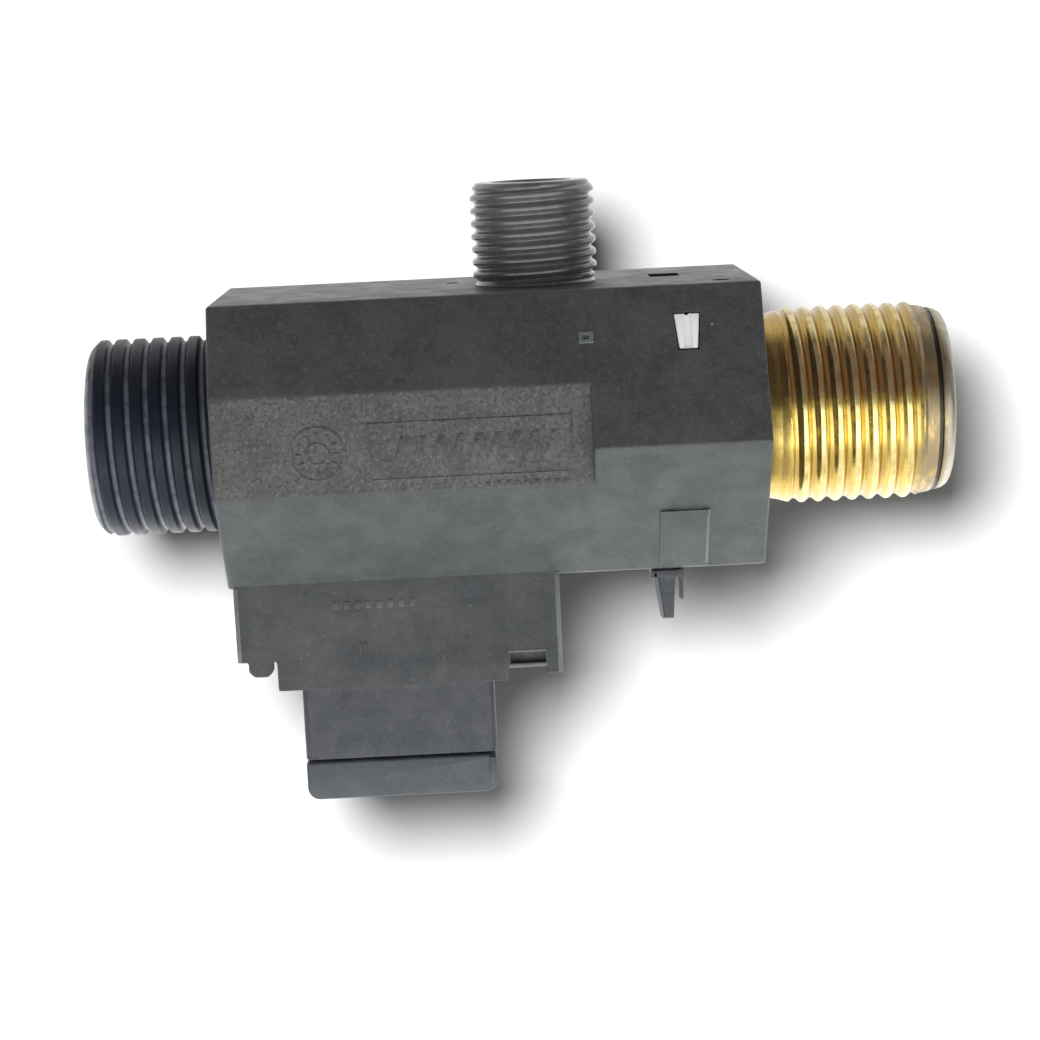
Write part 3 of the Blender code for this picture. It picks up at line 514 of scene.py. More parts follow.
def metal_look(name, light, dark, gloss):
    """Drawn or turned metal: fine lines, cloudy oxide and painted shade in its crevices."""
    look = Look(name)
    lines = look.noise(0.12, detail=3.0, stretch=(1.0, 1.0, 0.05))
    clouds = look.band(look.noise(2.2, detail=5.0, warp=0.5), 0.4, 0.7)
    look.colour = look.mix(look.times(clouds, 0.3), light, dark)
    # Painted shade: darker in crevices.
    look.paint(look.times(look.crevices(0.8), 0.6), dark)
    rough = look.maths("ADD", look.band(lines, 0.3, 0.7, *gloss), look.times(clouds, 0.08))
    look.bump((lines, 0.003), (look.noise(0.6), 0.004))
    return look.finish(rough, metallic=1.0)


def soft_plastic(name, light, shade, gloss, grain=0.5, specular=0.5):
    """Pale moulded plastic with faint flow marks and painted shade in its corners."""
    look = Look(name)
    flow = look.band(look.noise(3.0, detail=4.0, warp=1.2, stretch=(1.0, 0.4, 1.0)), 0.35, 0.7)
    look.colour = look.mix(look.times(flow, 0.45), light, shade)
    # Painted shade: darker in corners and crevices.
    look.paint(look.times(look.crevices(1.0), 0.5), tuple(0.45 * channel for channel in shade))
    look.bump((look.noise(grain, detail=3.0), 0.006))
    return look.finish(look.band(look.noise(1.2, detail=4.0), 0.3, 0.7, *gloss), specular=specular)


def make_looks():
    dust = (0.23, 0.235, 0.225)
    return {
        "body": moulded("black_polyamide", (0.044, 0.044, 0.046), (0.085, 0.084, 0.083), dust,
                        (0.40, 0.54), 0.014, clouds=0.45, speckle=0.4, grit=0.10, brown=0.25),
        "texture": moulded("black_polyamide_spark_texture", (0.046, 0.046, 0.044),
                           (0.084, 0.082, 0.076), (0.13, 0.129, 0.12), (0.46, 0.62), 0.045,
                           grain_size=0.5, clouds=0.9, speckle=0.7, grit=0.7, brown=0.2),
        # A greener, smoother copy of the body's plastic for the downward facets, tinted for the light
        # they catch from below: painted light.
        "lower": moulded("black_polyamide_lower_facets_painted_light", (0.038, 0.044, 0.045),
                         (0.066, 0.073, 0.071), dust, (0.40, 0.52), 0.010, clouds=0.8,
                         speckle=0.3, grit=0.06, brown=0.10),
        # A darker, bluer copy of the body's plastic for the housing below the block, standing in for
        # the shade there: painted shade.
        "housing": moulded("black_polyamide_housing_painted_shade", (0.018, 0.022, 0.026),
                           (0.040, 0.043, 0.042), dust, (0.44, 0.58), 0.012, clouds=0.7,
                           speckle=0.4, grit=0.06, brown=0.10),
        "thread": moulded("black_polyamide_thread", (0.007, 0.009, 0.017), (0.013, 0.016, 0.026),
                          (0.34, 0.35, 0.33), (0.34, 0.48), 0.004, wear=0.1, dust=0.1,
                          specular=0.22, painted_groove_highlight=((0.12, 0.13, 0.155), 9.95)),
        # A lighter copy of the spigots' plastic for the branch, standing in for the light it catches:
        # painted light.
        "branch": moulded("black_polyamide_branch_painted_light", (0.080, 0.081, 0.085), (0.125, 0.126, 0.132),
                          (0.36, 0.36, 0.37), (0.10, 0.20), 0.005, wear=0.8, dust=0.4,
                          specular=0.9),
        "case": moulded("coil_resin", (0.020, 0.024, 0.031), (0.040, 0.044, 0.050), dust,
                        (0.42, 0.56), 0.010, wear=0.5, clouds=0.8, grit=0.08),
        "cap": moulded("cap_resin", (0.056, 0.064, 0.073), (0.080, 0.088, 0.098),
                       (0.3, 0.31, 0.32), (0.40, 0.55), 0.008, wear=0.4, grit=0.06),
        # Pale copy for small marks and for narrow lips along edges, where it stands in for light
        # caught on those edges: painted highlight.
        "edge": moulded("pale_marks_and_highlit_edges", (0.09, 0.10, 0.10), (0.16, 0.17, 0.17),
                        (0.3, 0.31, 0.31), (0.34, 0.48), 0.006, wear=0.6),
        "brass": brass_look(),
        "white": soft_plastic("white_acetal", (0.80, 0.80, 0.77), (0.66, 0.66, 0.62), (0.3, 0.42)),
        "fork": soft_plastic("white_fork_acetal", (0.96, 0.96, 0.95), (0.86, 0.86, 0.84),
                             (0.28, 0.4)),
        "rubber": soft_plastic("black_rubber", (0.018, 0.018, 0.019), (0.030, 0.030, 0.031),
                               (0.5, 0.68), grain=0.2, specular=0.35),
        "steel": metal_look("zinc_plated_steel", (0.62, 0.64, 0.66), (0.36, 0.37, 0.38),
                            (0.28, 0.42)),
        "screw": metal_look("zinc_plated_screw", (0.66, 0.66, 0.62), (0.34, 0.34, 0.31),
                            (0.24, 0.38)),
        "stainless": metal_look("stainless_steel", (0.64, 0.63, 0.61), (0.42, 0.41, 0.40),
                                (0.18, 0.30)),
        "gauze": metal_look("steel_gauze", (0.60, 0.60, 0.58), (0.38, 0.37, 0.34), (0.22, 0.36)),
        "copper": metal_look("enamelled_copper", (0.66, 0.26, 0.11), (0.40, 0.13, 0.06),
                             (0.24, 0.36)),
        "tin": metal_look("tinned_blade", (0.72, 0.70, 0.65), (0.46, 0.44, 0.40), (0.2, 0.34)),
    }


LOOKS = make_looks()


# ---------------------------------------------------------------- valve body

def facet_y(z):
    """Half width of the body's upper facet at height z."""
    return TOP_HALF + FACET_SLOPE * (TOP_Z - z)


def base_facet_y(z):
    return RIDGE_HALF - BASE_SLOPE * (RIDGE_Z - z)


def block_outline(half):
    """Section (y, z) of the body, its side ridges cut flat at half."""
    high = TOP_Z - (half - TOP_HALF) / FACET_SLOPE
    low = RIDGE_Z - (RIDGE_HALF - half) / BASE_SLOPE
    right = [(BASE_HALF, BASE_Z), (half, low), (half, high), (TOP_HALF, TOP_Z)]
    if half == RIDGE_HALF:
        right.pop(1)
    return right + [(-y, z) for y, z in reversed(right)]


def housing_outline():
    """Side outline (z, x) of the lower housing: lug, apron and the step at its right."""
    (left, right), corner = HOUSING_X, 0.6
    side_z, lug_z, apron_z, step_z, foot_z = -23.4, -25.0, -26.6, -25.3, -26.0
    outline = [
        (left, HOUSING_TOP_Z), (left, side_z), (15.4, side_z), (15.4, lug_z + corner),
        (15.4 + corner, lug_z), (18.0 - corner, lug_z), (18.0, lug_z + corner), (18.0, side_z),
        (18.4, side_z), (18.4, apron_z), (42.6, apron_z), (42.6, step_z), (46.7, step_z),
        (46.7, foot_z), (right, foot_z), (right, HOUSING_TOP_Z),
    ]
    return [(z, x) for x, z in outline]


def leg_section(side, gap=0.0):
    inner, outer = side * (LEG_Z[0] - gap), side * (LEG_Z[1] + gap)
    return [
        (outer, LEG_X - LEG_TOP_HALF - gap), (outer, LEG_X + LEG_TOP_HALF + gap),
        (inner, LEG_X + LEG_FOOT_HALF + gap), (inner, LEG_X - LEG_FOOT_HALF - gap),
    ]


def screw_places():
    return [(COIL_X + x, y) for x in spread(SCREW_X) for y in spread(SCREW_Y)]


def make_body_block():
    body = prism("valve_body_block", block_outline(FLAT_HALF), BODY_X[0], FLAT_END + OVER,
                 axis="X", edge=EDGE)
    outlet_end = prism("outlet_end", block_outline(RIDGE_HALF), FLAT_END, BODY_X[1], axis="X",
                       edge=EDGE)
    housing = prism("housing", housing_outline(), *spread(HOUSING_HALF_Y), axis="Y", edge=0.2,
                    segments=2)
    pad_z = (-8.3, BASE_Z)
    pad = [
        (-base_facet_y(pad_z[0]) - 0.22, pad_z[0] - 0.18), (-base_facet_y(pad_z[0]) + 2, pad_z[0]),
        (-BASE_HALF + 2, pad_z[1] + 0.3), (-BASE_HALF - 0.25, pad_z[1] + 0.12),
    ]
    join(body, outlet_end, housing, prism("pad", pad, 58.9, 64.0, axis="X", edge=0.15))
    cut_ports(body)
    cut_housing(body)
    cut_slots(body)
    finish_piece(body, "body", "valve_body")
    for name in ("texture", "lower", "housing"):
        body.data.materials.append(LOOKS[name])
    for face in body.data.polygons:
        if abs(face.normal.y) > 0.99 and abs(abs(face.center.y) - FLAT_HALF * MM) < 0.1 * MM:
            face.material_index = 1
        # Painted shade: faces below the block take the darker housing copy.
        elif face.center.z < (BASE_Z - 0.1) * MM:
            face.material_index = 3
        # Painted light: downward facets take the greener copy.
        elif face.normal.z < -0.3:
            face.material_index = 2


def cut_ports(body):
    """Inlet bore, passage to the chamber, seat, outlet channel and sockets."""
    coil = (COIL_X, 0, 0)
    cut(
        body,
        cylinder("inlet", BORE_R, BODY_X[0] - OVER, 24.0, axis="X"),
        cylinder("inlet_seat", INLET_SEAT[0], BODY_X[0] - OVER, INLET_SEAT[1], axis="X"),
        cylinder("branch_seat", BRANCH_SEAT[0], BRANCH_SEAT[1], BRANCH_RIM_Z,
                 centre=(BRANCH_X, 0, 0)),
        cylinder("socket", SOCKET_R, 53.5, BODY_X[1] + OVER, axis="X"),
        cylinder("channel", CHANNEL_R, 27.0, 53.5 + OVER, axis="X"),
        cylinder("branch", BRANCH_BORE_R, 2, BRANCH_RIM_Z, centre=(BRANCH_X, 0, 0)),
        block("passage", (21.4, 25.0), spread(2.4), (-11.6, -4)),
        block("chamber_mouth", (24.0, 27.0), spread(2.4), (-11.6, -8.6)),
        cylinder("chamber", 5.6, CAVITY_Z - OVER, -8.0, centre=coil),
        cylinder("seat_bore", 3.9, -9.0, -4, centre=coil),
    )


def cut_housing(body):
    """Cavity around the coil, O-ring groove, screw pilots and the front recess."""
    groove = [(6.0, CAVITY_Z - OVER), (7.2, CAVITY_Z - OVER), (7.2, CAVITY_Z + 1.2),
              (6.0, CAVITY_Z + 1.2)]
    cut(
        body,
        block("cavity", CAVITY_X, spread(CAVITY_HALF_Y), (-30, CAVITY_Z), edge=0.6),
        turned("groove", groove, centre=(COIL_X, 0, 0)),
        block("recess", (42.9, 46.7), (-HOUSING_HALF_Y - OVER, -HOUSING_HALF_Y + 0.9),
              (-24.8, -23.6)),
    )
    for x, y in screw_places():
        cut(body, cylinder("pilot", 1.5, CAVITY_Z - OVER, -9.5, 32, centre=(x, y, 0)))


def cut_slots(body):
    """Slots for the fork's legs, its pocket, the clip's slot and shallow marks on top."""
    back = RIDGE_HALF + OVER
    cut(
        body,
        prism("upper_slot", leg_section(1, WINDOW_GAP), -back, back, axis="Y"),
        prism("lower_slot", leg_section(-1, GAP), LOWER_LEG_TIP_Y - GAP, back, axis="Y"),
        block("pocket", (LEG_X - 2.4, LEG_X + 2.4), (14.6, back), spread(12.3)),
        block("top_slot", (59.7, 62.9), (-1.0, 3.4), (13.2, TOP_Z + OVER), edge=0.3),
        block("clip_slot", (58.5, 61.2), (-7.9, -4.7), (BASE_Z - OVER, -12.5)),
        cylinder("pin_mark", 0.7, TOP_Z - 0.15, TOP_Z + OVER, 32, centre=(38.7, 4.0, 0)),
        cylinder("pin_mark", 0.9, TOP_Z - 0.12, TOP_Z + OVER, 32, centre=(66.4, -9.5, 0)),
    )


def make_spigots():
    """Inlet and branch spigots: threads outside the block, plain shanks in its seats."""
    rim, face = 9.35, BODY_X[0] - 0.03
    shank_r, shank_end = INLET_SHANK
    inlet = threaded(
        "threaded_inlet_spigot",
        [(7.2, 0.0), (rim - 0.4, 0.0), (rim - 0.1, 0.05), (rim + 0.15, 0.16)],
        (0.22, face - 0.03),
        [(9.6, face), (shank_r, face), (shank_r, shank_end - 0.2), (shank_r - 0.2, shank_end),
         (BORE_R, shank_end), (BORE_R, 0.6)],
        INLET_THREAD, INLET_CREST_X,
        ramps((0.2, rim + 0.25), (0.5, rim + 0.6), (1.1, INLET_THREAD[0]), (99, INLET_THREAD[0])),
        "X",
    )
    finish_piece(inlet, "thread", "inlet_spigot", smooth=40)
    top, foot = BRANCH_RIM_Z, TOP_Z + 0.03
    crest_r, root_r = BRANCH_THREAD[:2]
    shank_r, shank_end = BRANCH_SHANK
    neck_r = root_r + 0.05
    branch = threaded(
        "threaded_branch_spigot",
        [(BRANCH_BORE_R, shank_end), (shank_r - 0.2, shank_end), (shank_r, shank_end + 0.2),
         (shank_r, foot), (neck_r + 0.25, foot), (neck_r + 0.05, foot + 0.15),
         (neck_r, TOP_Z + 0.3)],
        (TOP_Z + 0.4, top - 0.35),
        [(root_r - 0.02, top - 0.25), (root_r - 0.15, top - 0.06), (root_r - 0.35, top),
         (BRANCH_BORE_R + 0.35, top), (BRANCH_BORE_R, top - 0.3)],
        BRANCH_THREAD, BRANCH_CREST_Z,
        ramps((TOP_Z + 0.35, neck_r), (TOP_Z + 1.0, crest_r), (top - 1.0, crest_r),
              (top - 0.2, root_r)),
        "Z", centre=(BRANCH_X, 0, 0),
    )
    finish_piece(branch, "branch", "branch_spigot", smooth=40)


def raised(name, outline, height, holes=()):
    """Flat relief on the front face of the block, drawn as (x, z)."""
    y = (-FLAT_HALF - height, -FLAT_HALF + 0.3)
    relief = prism(name, [(z, x) for x, z in outline], *y, axis="Y", edge=0.05, segments=2)
    for hole in holes:
        cut(relief, prism("hole", [(z, x) for x, z in hole], y[0] - OVER, y[1] + OVER, axis="Y"))
    finish_piece(relief, "texture", "valve_body")


def make_front_relief():
    """Generic moulding marks: a round dial, a plain frame with ribs, and rows of dashes."""
    dial, dial_r, hub_r = Vector((24.45, -0.55)), 2.9, 1.25
    raised("dial_rim", circle(dial, dial_r, 48), 0.1, [circle(dial, dial_r - 0.3, 48)])
    raised("dial_hub", circle(dial, hub_r, 32), 0.1, [circle(dial, hub_r - 0.3, 32)])
    for number in range(12):
        angle = math.radians(30 * number)
        along = Vector((math.cos(angle), math.sin(angle)))
        across = along.orthogonal()
        mark = [tuple(dial + along * r + across * w)
                for r, w in ((1.6, -0.1), (2.25, -0.17), (2.25, 0.17), (1.6, 0.1))]
        raised(f"dial_mark_{number + 1}", mark, 0.09)
    frame_x, frame_z, line = (29.6, 50.2), (-3.6, 2.4), 0.22
    inside = rectangle((frame_x[0] + line, frame_x[1] - line), (frame_z[0] + line, frame_z[1] - line))
    raised("front_frame", rectangle(frame_x, frame_z), 0.1, [inside])
    for number in range(9):
        x, width, slant = 32.0 + 1.9 * number, 0.85, 0.9
        rib = [(x, -2.1), (x + width, -2.1), (x + width + slant, 0.9), (x + slant, 0.9)]
        raised(f"frame_rib_{number + 1}", rib, 0.07)
    for number in range(9):
        x = 41.2 + 1.0 * number
        raised(f"front_dash_{number + 1}", rectangle((x, x + 0.55), (-4.75, -4.15)), 0.07)


def facet_frame(x, z):
    """Matrix of a flat mark that lies on the upper front facet at (x, z)."""
    normal = Vector((0, -1, FACET_SLOPE)).normalized()
    across = Vector((1, 0, 0))
    up = normal.cross(across)
    turn = Matrix((across, up, normal)).transposed().to_4x4()
    return Matrix.Translation((x, -facet_y(z), z)) @ turn


def make_edge_strips():
    """Narrow pale lips on the housing's corners, round the recess and beside the pad: painted
    highlights along those edges.
    """
    front = (-HOUSING_HALF_Y - 0.08, -HOUSING_HALF_Y + 0.3)
    for name, x, z in (
        ("housing_lip_left", (HOUSING_X[0], 14.75), (-23.3, -15.4)),
        ("housing_lip_right", (47.95, HOUSING_X[1] + 0.02), (-26.0, -15.2)),
        ("recess_lip_top", (42.75, 46.75), (-23.6, -23.38)),
        ("recess_lip_bottom", (42.75, 46.75), (-25.2, -24.85)),
    ):
        strip = block(name, x, front, z, edge=0.06, segments=2)
        finish_piece(strip, "edge", "valve_body")
    top, low = -8.5, -14.9
    section = [(-base_facet_y(top) - 0.34, top), (-base_facet_y(top) + 0.6, top),
               (-base_facet_y(low) + 0.6, low), (-base_facet_y(low) - 0.34, low)]
    lip = prism("pad_lip", section, 63.7, 64.05, axis="X", edge=0.06, segments=2)
    finish_piece(lip, "edge", "valve_body")


def make_facet_marks():
    """A square ring and a dot on the upper facet, and ticks and dots on the housing."""
    ring = block("square_ring", spread(0.75), spread(0.62), (-0.3, 0.14), edge=0.05)
    cut(ring, block("hole", spread(0.33), spread(0.27), (-OVER, OVER)))
    dot = cylinder("facet_dot", 0.17, -0.2, 0.12, 16, edge=0.04)
    for piece, (x, z) in ((ring, (52.05, 9.75)), (dot, (64.85, 10.5))):
        piece.data.transform(facet_frame(x, z))
        finish_piece(piece, "edge", "valve_body")
    front = (-HOUSING_HALF_Y - 0.07, -HOUSING_HALF_Y + 0.2)
    for number, (x, z) in enumerate(((27.3, -22.2), (27.8, -22.2), (35.9, -23.6)), 1):
        tick = block(f"housing_tick_{number}", (x - 0.1, x + 0.1), front, (z - 0.5, z + 0.5),
                     edge=0.03)
        finish_piece(tick, "case", "valve_body")
    for number in range(8):
        x = 24.6 + 1.15 * number
        dash = block(f"housing_dash_{number + 1}", (x, x + 0.6), front, (-18.1, -17.3), edge=0.03)
        finish_piece(dash, "body", "valve_body")


# ---------------------------------------------------------------- outlet and fork

def make_outlet_tail():
    outline = [(BORE_R, TAIL_START + 0.4), (BORE_R + 0.4, TAIL_START), (SHANK_R - 0.2, TAIL_START),
               (SHANK_R, TAIL_START + 0.2)]
    for start, end in (*GROOVES, FORK_GROOVE):
        bottom = FORK_GROOVE_R if start == FORK_GROOVE[0] else GROOVE_R
        outline += [
            (SHANK_R, start - 0.05), (SHANK_R - 0.05, start), (bottom + 0.1, start),
            (bottom, start + 0.1), (bottom, end - 0.1), (bottom + 0.1, end),
            (SHANK_R - 0.05, end), (SHANK_R, end + 0.05),
        ]
    shoulder = BODY_X[1] + GAP
    outline += [(SHANK_R, shoulder), (NECK_R - 0.1, shoulder), (NECK_R, shoulder + 0.06),
                (NECK_R, 70.75)]
    first, last = TAIL_THREAD_X
    rim = [
        (10.12, last + 0.08), (10.08, last + 0.3), (9.98, 88.4), (9.9, 88.68), (9.66, 88.74),
        (9.62, 88.8), (9.62, 89.0), (9.66, 89.06), (9.78, 89.12), (9.74, 89.4), (9.6, 89.9),
        (9.35, 90.3), (9.05, TAIL_END), (7.4, TAIL_END), (7.1, 90.42), (BORE_R, TAIL_END - 0.8),
    ]
    tail = threaded(
        "brass_tail_piece", outline, (first, last), rim, TAIL_THREAD, TAIL_CREST_X,
        ramps((first, NECK_R), (first + 1.4, 10.02), (first + 3.0, TAIL_THREAD[0]),
              (last - 0.5, TAIL_THREAD[0]), (last, 10.12)),
        "X",
    )
    finish_piece(tail, "brass", "outlet_tail", body="outlet", smooth=38)
    for number, (start, end) in enumerate(GROOVES, 1):
        make_o_ring(f"outlet_seal_{number}", f"outlet_o_ring_{number}", 8.12, 0.78, "outlet",
                    centre=((start + end) / 2, 0, 0), axis="X")


def make_o_ring(name, node, ring_r, wire_r, body="valve", **placing):
    ring = turned(name, circle((ring_r, 0), wire_r, 24), FINE_SIDES, **placing)
    finish_piece(ring, "rubber", node, body, smooth=60)


def make_fork():
    """White fork: two grooved legs and the bridge that joins them at the back."""
    fork = block("white_locking_fork", (LEG_X - LEG_TOP_HALF, LEG_X + LEG_TOP_HALF), BRIDGE_Y,
                 spread(LEG_Z[1]), edge=0.35)
    tips = {1: lambda z: -facet_y(z) + 0.14, -1: lambda z: LOWER_LEG_TIP_Y}
    for side, tip in tips.items():
        section = leg_section(side)
        bm = bmesh.new()
        front = [bm.verts.new((x, tip(z), z)) for z, x in section]
        rear = [bm.verts.new((x, BRIDGE_Y[0] + OVER, z)) for z, x in section]
        bm.faces.new(front)
        bm.faces.new(rear)
        bridge(bm, front, rear)
        leg = solid("leg", bm, edge=0.12)
        top = side * LEG_Z[1]
        notch = [(top - side * 0.22, LEG_X), (top + side * 0.2, LEG_X - 0.6),
                 (top + side * 0.2, LEG_X + 0.6)]
        cut(leg, prism("notch", notch, -RIDGE_HALF, 11.0, axis="Y"))
        join(fork, leg)
    band = block("front_band", spread(0.45), spread(2.6), (-0.26, OVER), edge=0.06)
    band.data.transform(facet_frame(LEG_X, 9.9))
    cut(fork, band)
    grip = block("grip", (LEG_X - 0.9, LEG_X + 0.9), (BRIDGE_Y[1] - 0.5, BRIDGE_Y[1] + OVER),
                 spread(4.0), edge=0.15)
    cut(fork, grip)
    finish_piece(fork, "fork", "locking_fork", body="fork")


# ---------------------------------------------------------------- coil and its socket

def rounded(x, y, radius):
    """Rectangle outline with its four corners cut round."""
    outline = []
    for number, corner in enumerate(((x[1], y[1]), (x[0], y[1]), (x[0], y[0]), (x[1], y[0]))):
        centre = [at - math.copysign(radius, at - sum(span) / 2) for at, span in zip(corner, (x, y))]
        outline += arc(centre, radius, 90 * number, 90 * number + 90, 8)
    return outline


def socket_cutter(z):
    mouth = block("mouth", SOCKET_X, spread(SOCKET_HALF_Y), z, edge=0.3)
    cut(mouth, block("key", (COIL_X - SOCKET_KEY, COIL_X + SOCKET_KEY),
                     (SOCKET_HALF_Y - SOCKET_KEY, SOCKET_HALF_Y + OVER), (z[0] - OVER, z[1] + OVER),
                     edge=0.2))
    return mouth


def make_case():
    case = prism("coil_case_shell", rounded(CASE_X, spread(CASE_HALF_Y), 0.8), *CASE_Z, edge=0.12,
                 segments=2)
    cut(
        case,
        block("coil_space", (CASE_X[0] + 1, CASE_X[1] - 1), spread(CASE_HALF_Y - 1), (FLOOR_Z[1], 0)),
        socket_cutter((CASE_Z[0] - OVER, FLOOR_Z[0])),
    )
    for number in (-1, 1):
        x = COIL_X + number * PIN_OFFSET
        half = PIN_T / 2 + GAP
        cut(case, block("pin_slot", (x - half, x + half), spread(PIN_HALF_Y + GAP),
                        (FLOOR_Z[0] - OVER, FLOOR_Z[1] + OVER)))
    finish_piece(case, "case", "coil_case")


def make_cap():
    """Cap with rounded lower corners, a rib at its right edge and the socket's mouth."""
    (left, right), (low, high), radius = CAP_X, CAP_Z, 1.3
    outline = [(high, left), (high, right)]
    for centre_x, start in ((right - radius, 90), (left + radius, 180)):
        outline += arc((low + radius, centre_x), radius, start, start + 90, 8)
    cap = prism("terminal_cap_shell", outline, *spread(CASE_HALF_Y), axis="Y", edge=0.28)
    rib = block("rib", (right - 0.8, right - 0.1), (-CASE_HALF_Y - 0.3, 0), (low + 1.0, high - 0.2),
                edge=0.12)
    join(cap, rib)
    cut(cap, socket_cutter((low - OVER, high + OVER)))
    finish_piece(cap, "cap", "terminal_cap")


def make_blades():
    tip = [
        (-PIN_HALF_Y + 0.6, PIN_Z[0]), (PIN_HALF_Y - 0.6, PIN_Z[0]), (PIN_HALF_Y, PIN_Z[0] + 0.8),
        (PIN_HALF_Y, PIN_Z[1]), (-PIN_HALF_Y, PIN_Z[1]), (-PIN_HALF_Y, PIN_Z[0] + 0.8),
    ]
    for number, side in ((1, -1), (2, 1)):
        x = COIL_X + side * PIN_OFFSET
        blade = prism(f"plug_blade_{number}", tip, x - PIN_T / 2, x + PIN_T / 2, axis="X", edge=0.08)
        cut(blade, cylinder("dimple", 0.45, x - PIN_T, x + PIN_T, 24, centre=(0, 0, -35.6), axis="X"))
        finish_piece(blade, "tin", f"terminal_pin_{number}")


def make_clip():
    """Wiring clip: plate, root in the body, and three prongs below it."""
    y = (-8.3, -4.3)
    clip = block("black_wire_clip", (58.2, 61.6), y, (-16.6, -15.8), edge=0.12)
    join(clip, block("root", (58.8, 60.9), (-7.6, -5.0), (-16.4, -12.8), edge=0.1))
    top, tip_z = -16.0, -21.0
    prongs = {
        "edge": ((58.35, 58.8, 59.0, 59.35), (y[0], y[0] + 1.2), tip_z + 0.2),
        "leg": ((58.6, 60.7, 59.15, 60.4), (y[0] + 0.25, y[0] + 2.2), tip_z),
        "post": ((61.1, 61.5, 61.1, 61.5), (y[0] + 0.3, y[0] + 2.6), tip_z + 2.0),
    }
    for name, ((left, right, tip_left, tip_right), depth, low) in prongs.items():
        outline = [(top, left), (top, right), (low, tip_right), (low, tip_left)]
        prong = prism(f"clip_{name}", outline, *depth, axis="Y", edge=0.1, segments=2)
        # The left prong takes the pale edge look: a painted highlight along its rim.
        if name == "edge":
            finish_piece(prong, "edge", "wire_clip")
        else:
            join(clip, prong)
    finish_piece(clip, "case", "wire_clip")


# ---------------------------------------------------------------- inside the valve

def make_bonnet():
    plate = block("bonnet_clamp_plate", (15.5, 46.8), spread(7.6), (-17.5, -15.9), edge=0.2)
    cut(plate, cylinder("hole", 3.9, -19, 0, centre=(COIL_X, 0, 0)))
    for x, y in screw_places():
        cut(plate, cylinder("clearance", 1.5, -19, 0, 32, centre=(x, y, 0)))
    finish_piece(plate, "steel", "bonnet_plate")
    make_o_ring("bonnet_seal", "bonnet_o_ring", 6.6, 0.5, centre=(COIL_X, 0, CAVITY_Z + 0.5))
    for number, place in enumerate(screw_places(), 1):
        make_screw(number, place)


def make_screw(number, place):
    """Pan-head screw with a domed head, a cross recess and a threaded shank."""
    head_z, height, radius, shank = -17.8, 1.8, 2.4, 1.2
    low = head_z - height
    rim_height, dome = 0.7, []
    for degrees in range(0, 91, 10):
        angle = math.radians(degrees)
        dome.append((radius * math.sin(angle),
                     head_z - rim_height - (height - rim_height) * math.cos(angle)))
    outline = dome + [(radius, head_z - 0.1), (radius - 0.1, head_z), (shank, head_z)]
    height_at, tip = head_z + 1.4, -10.6
    while height_at < tip:
        outline += [(shank - 0.22, height_at), (shank, height_at + 0.18), (shank, height_at + 0.24),
                    (shank - 0.22, height_at + 0.42)]
        height_at += 0.6
    outline += [(0.3, -9.8), (0, -9.8)]
    screw = turned(f"cross_screw_{number}", outline, 48, centre=(*place, 0))
    x, y = place
    depth = (low - OVER, low + 0.9)
    cut(screw,
        block("slot", (x - 1.2, x + 1.2), (y - 0.28, y + 0.28), depth),
        block("slot", (x - 0.28, x + 0.28), (y - 1.2, y + 1.2), depth))
    finish_piece(screw, "screw", f"bonnet_screw_{number}")


def tube_mesh(name, paths, radius, sides, closed, across):
    """Round wires along paths of points, as one mesh; across is a direction no path takes."""
    bm = bmesh.new()
    for points in paths:
        points = [Vector(point) for point in points]
        count = len(points)
        rings = []
        for index, point in enumerate(points):
            before = points[index - 1] if closed or index else point
            after = points[(index + 1) % count] if closed or index < count - 1 else point
            along = (after - before).normalized()
            side = along.cross(Vector(across)).normalized()
            up = along.cross(side)
            rings.append([bm.verts.new(point + u * side + v * up)
                          for u, v in circle((0, 0), radius, sides)])
        pairs = list(zip(rings, rings[1:])) + ([(rings[-1], rings[0])] if closed else [])
        for ring, following in pairs:
            bridge(bm, ring, following)
        if not closed:
            bm.faces.new(rings[0])
            bm.faces.new(rings[-1])
    return solid(name, bm)


def make_strainer():
    """White strainer basket in the inlet and its woven wire sleeve."""
    basket = turned("strainer_basket", softened([(4.4, 6.0), (6.1, 6.0), (6.1, 8.0), (4.4, 8.0)],
                                                0.2), axis="X")
    join(basket, cylinder("end_disc", 6.1, 19.0, 20.2, axis="X", edge=0.2))
    for turn in range(4):
        rib = block("rib", (6.5, 19.8), spread(0.5), (5.2, 5.95), edge=0.1)
        rib.data.transform(Matrix.Rotation(math.radians(45 + 90 * turn), 4, "X"))
        join(basket, rib)
    finish_piece(basket, "white", "inlet_strainer_frame")
    middle, wave, wires, rings = 4.7, 0.09, 36, 24
    low, high = 8.4, 18.6
    warp = []
    for wire in range(wires):
        angle = 2 * math.pi * wire / wires
        path = []
        for step in range(2 * rings + 1):
            radius = middle + wave * math.cos(math.pi * (step + 2 * wire) / 2 + math.pi * wire)
            path.append((low + (high - low) * step / (2 * rings),
                         radius * math.cos(angle), radius * math.sin(angle)))
        warp.append(path)
    weft = []
    for ring in range(rings):
        x = low + (high - low) * (ring + 0.5) / rings
        weft.append([(x, y, z) for y, z in circle((0, 0), middle, 72)])
    for name, paths, closed, across in (
        ("strainer_wires", warp, False, (0, 0, 1)),
        ("strainer_hoops", weft, True, (1, 0, 0)),
    ):
        wires_mesh = tube_mesh(name, paths, 0.08, 6, closed, across)
        finish_piece(wires_mesh, "gauze", "inlet_strainer_mesh", smooth=60)


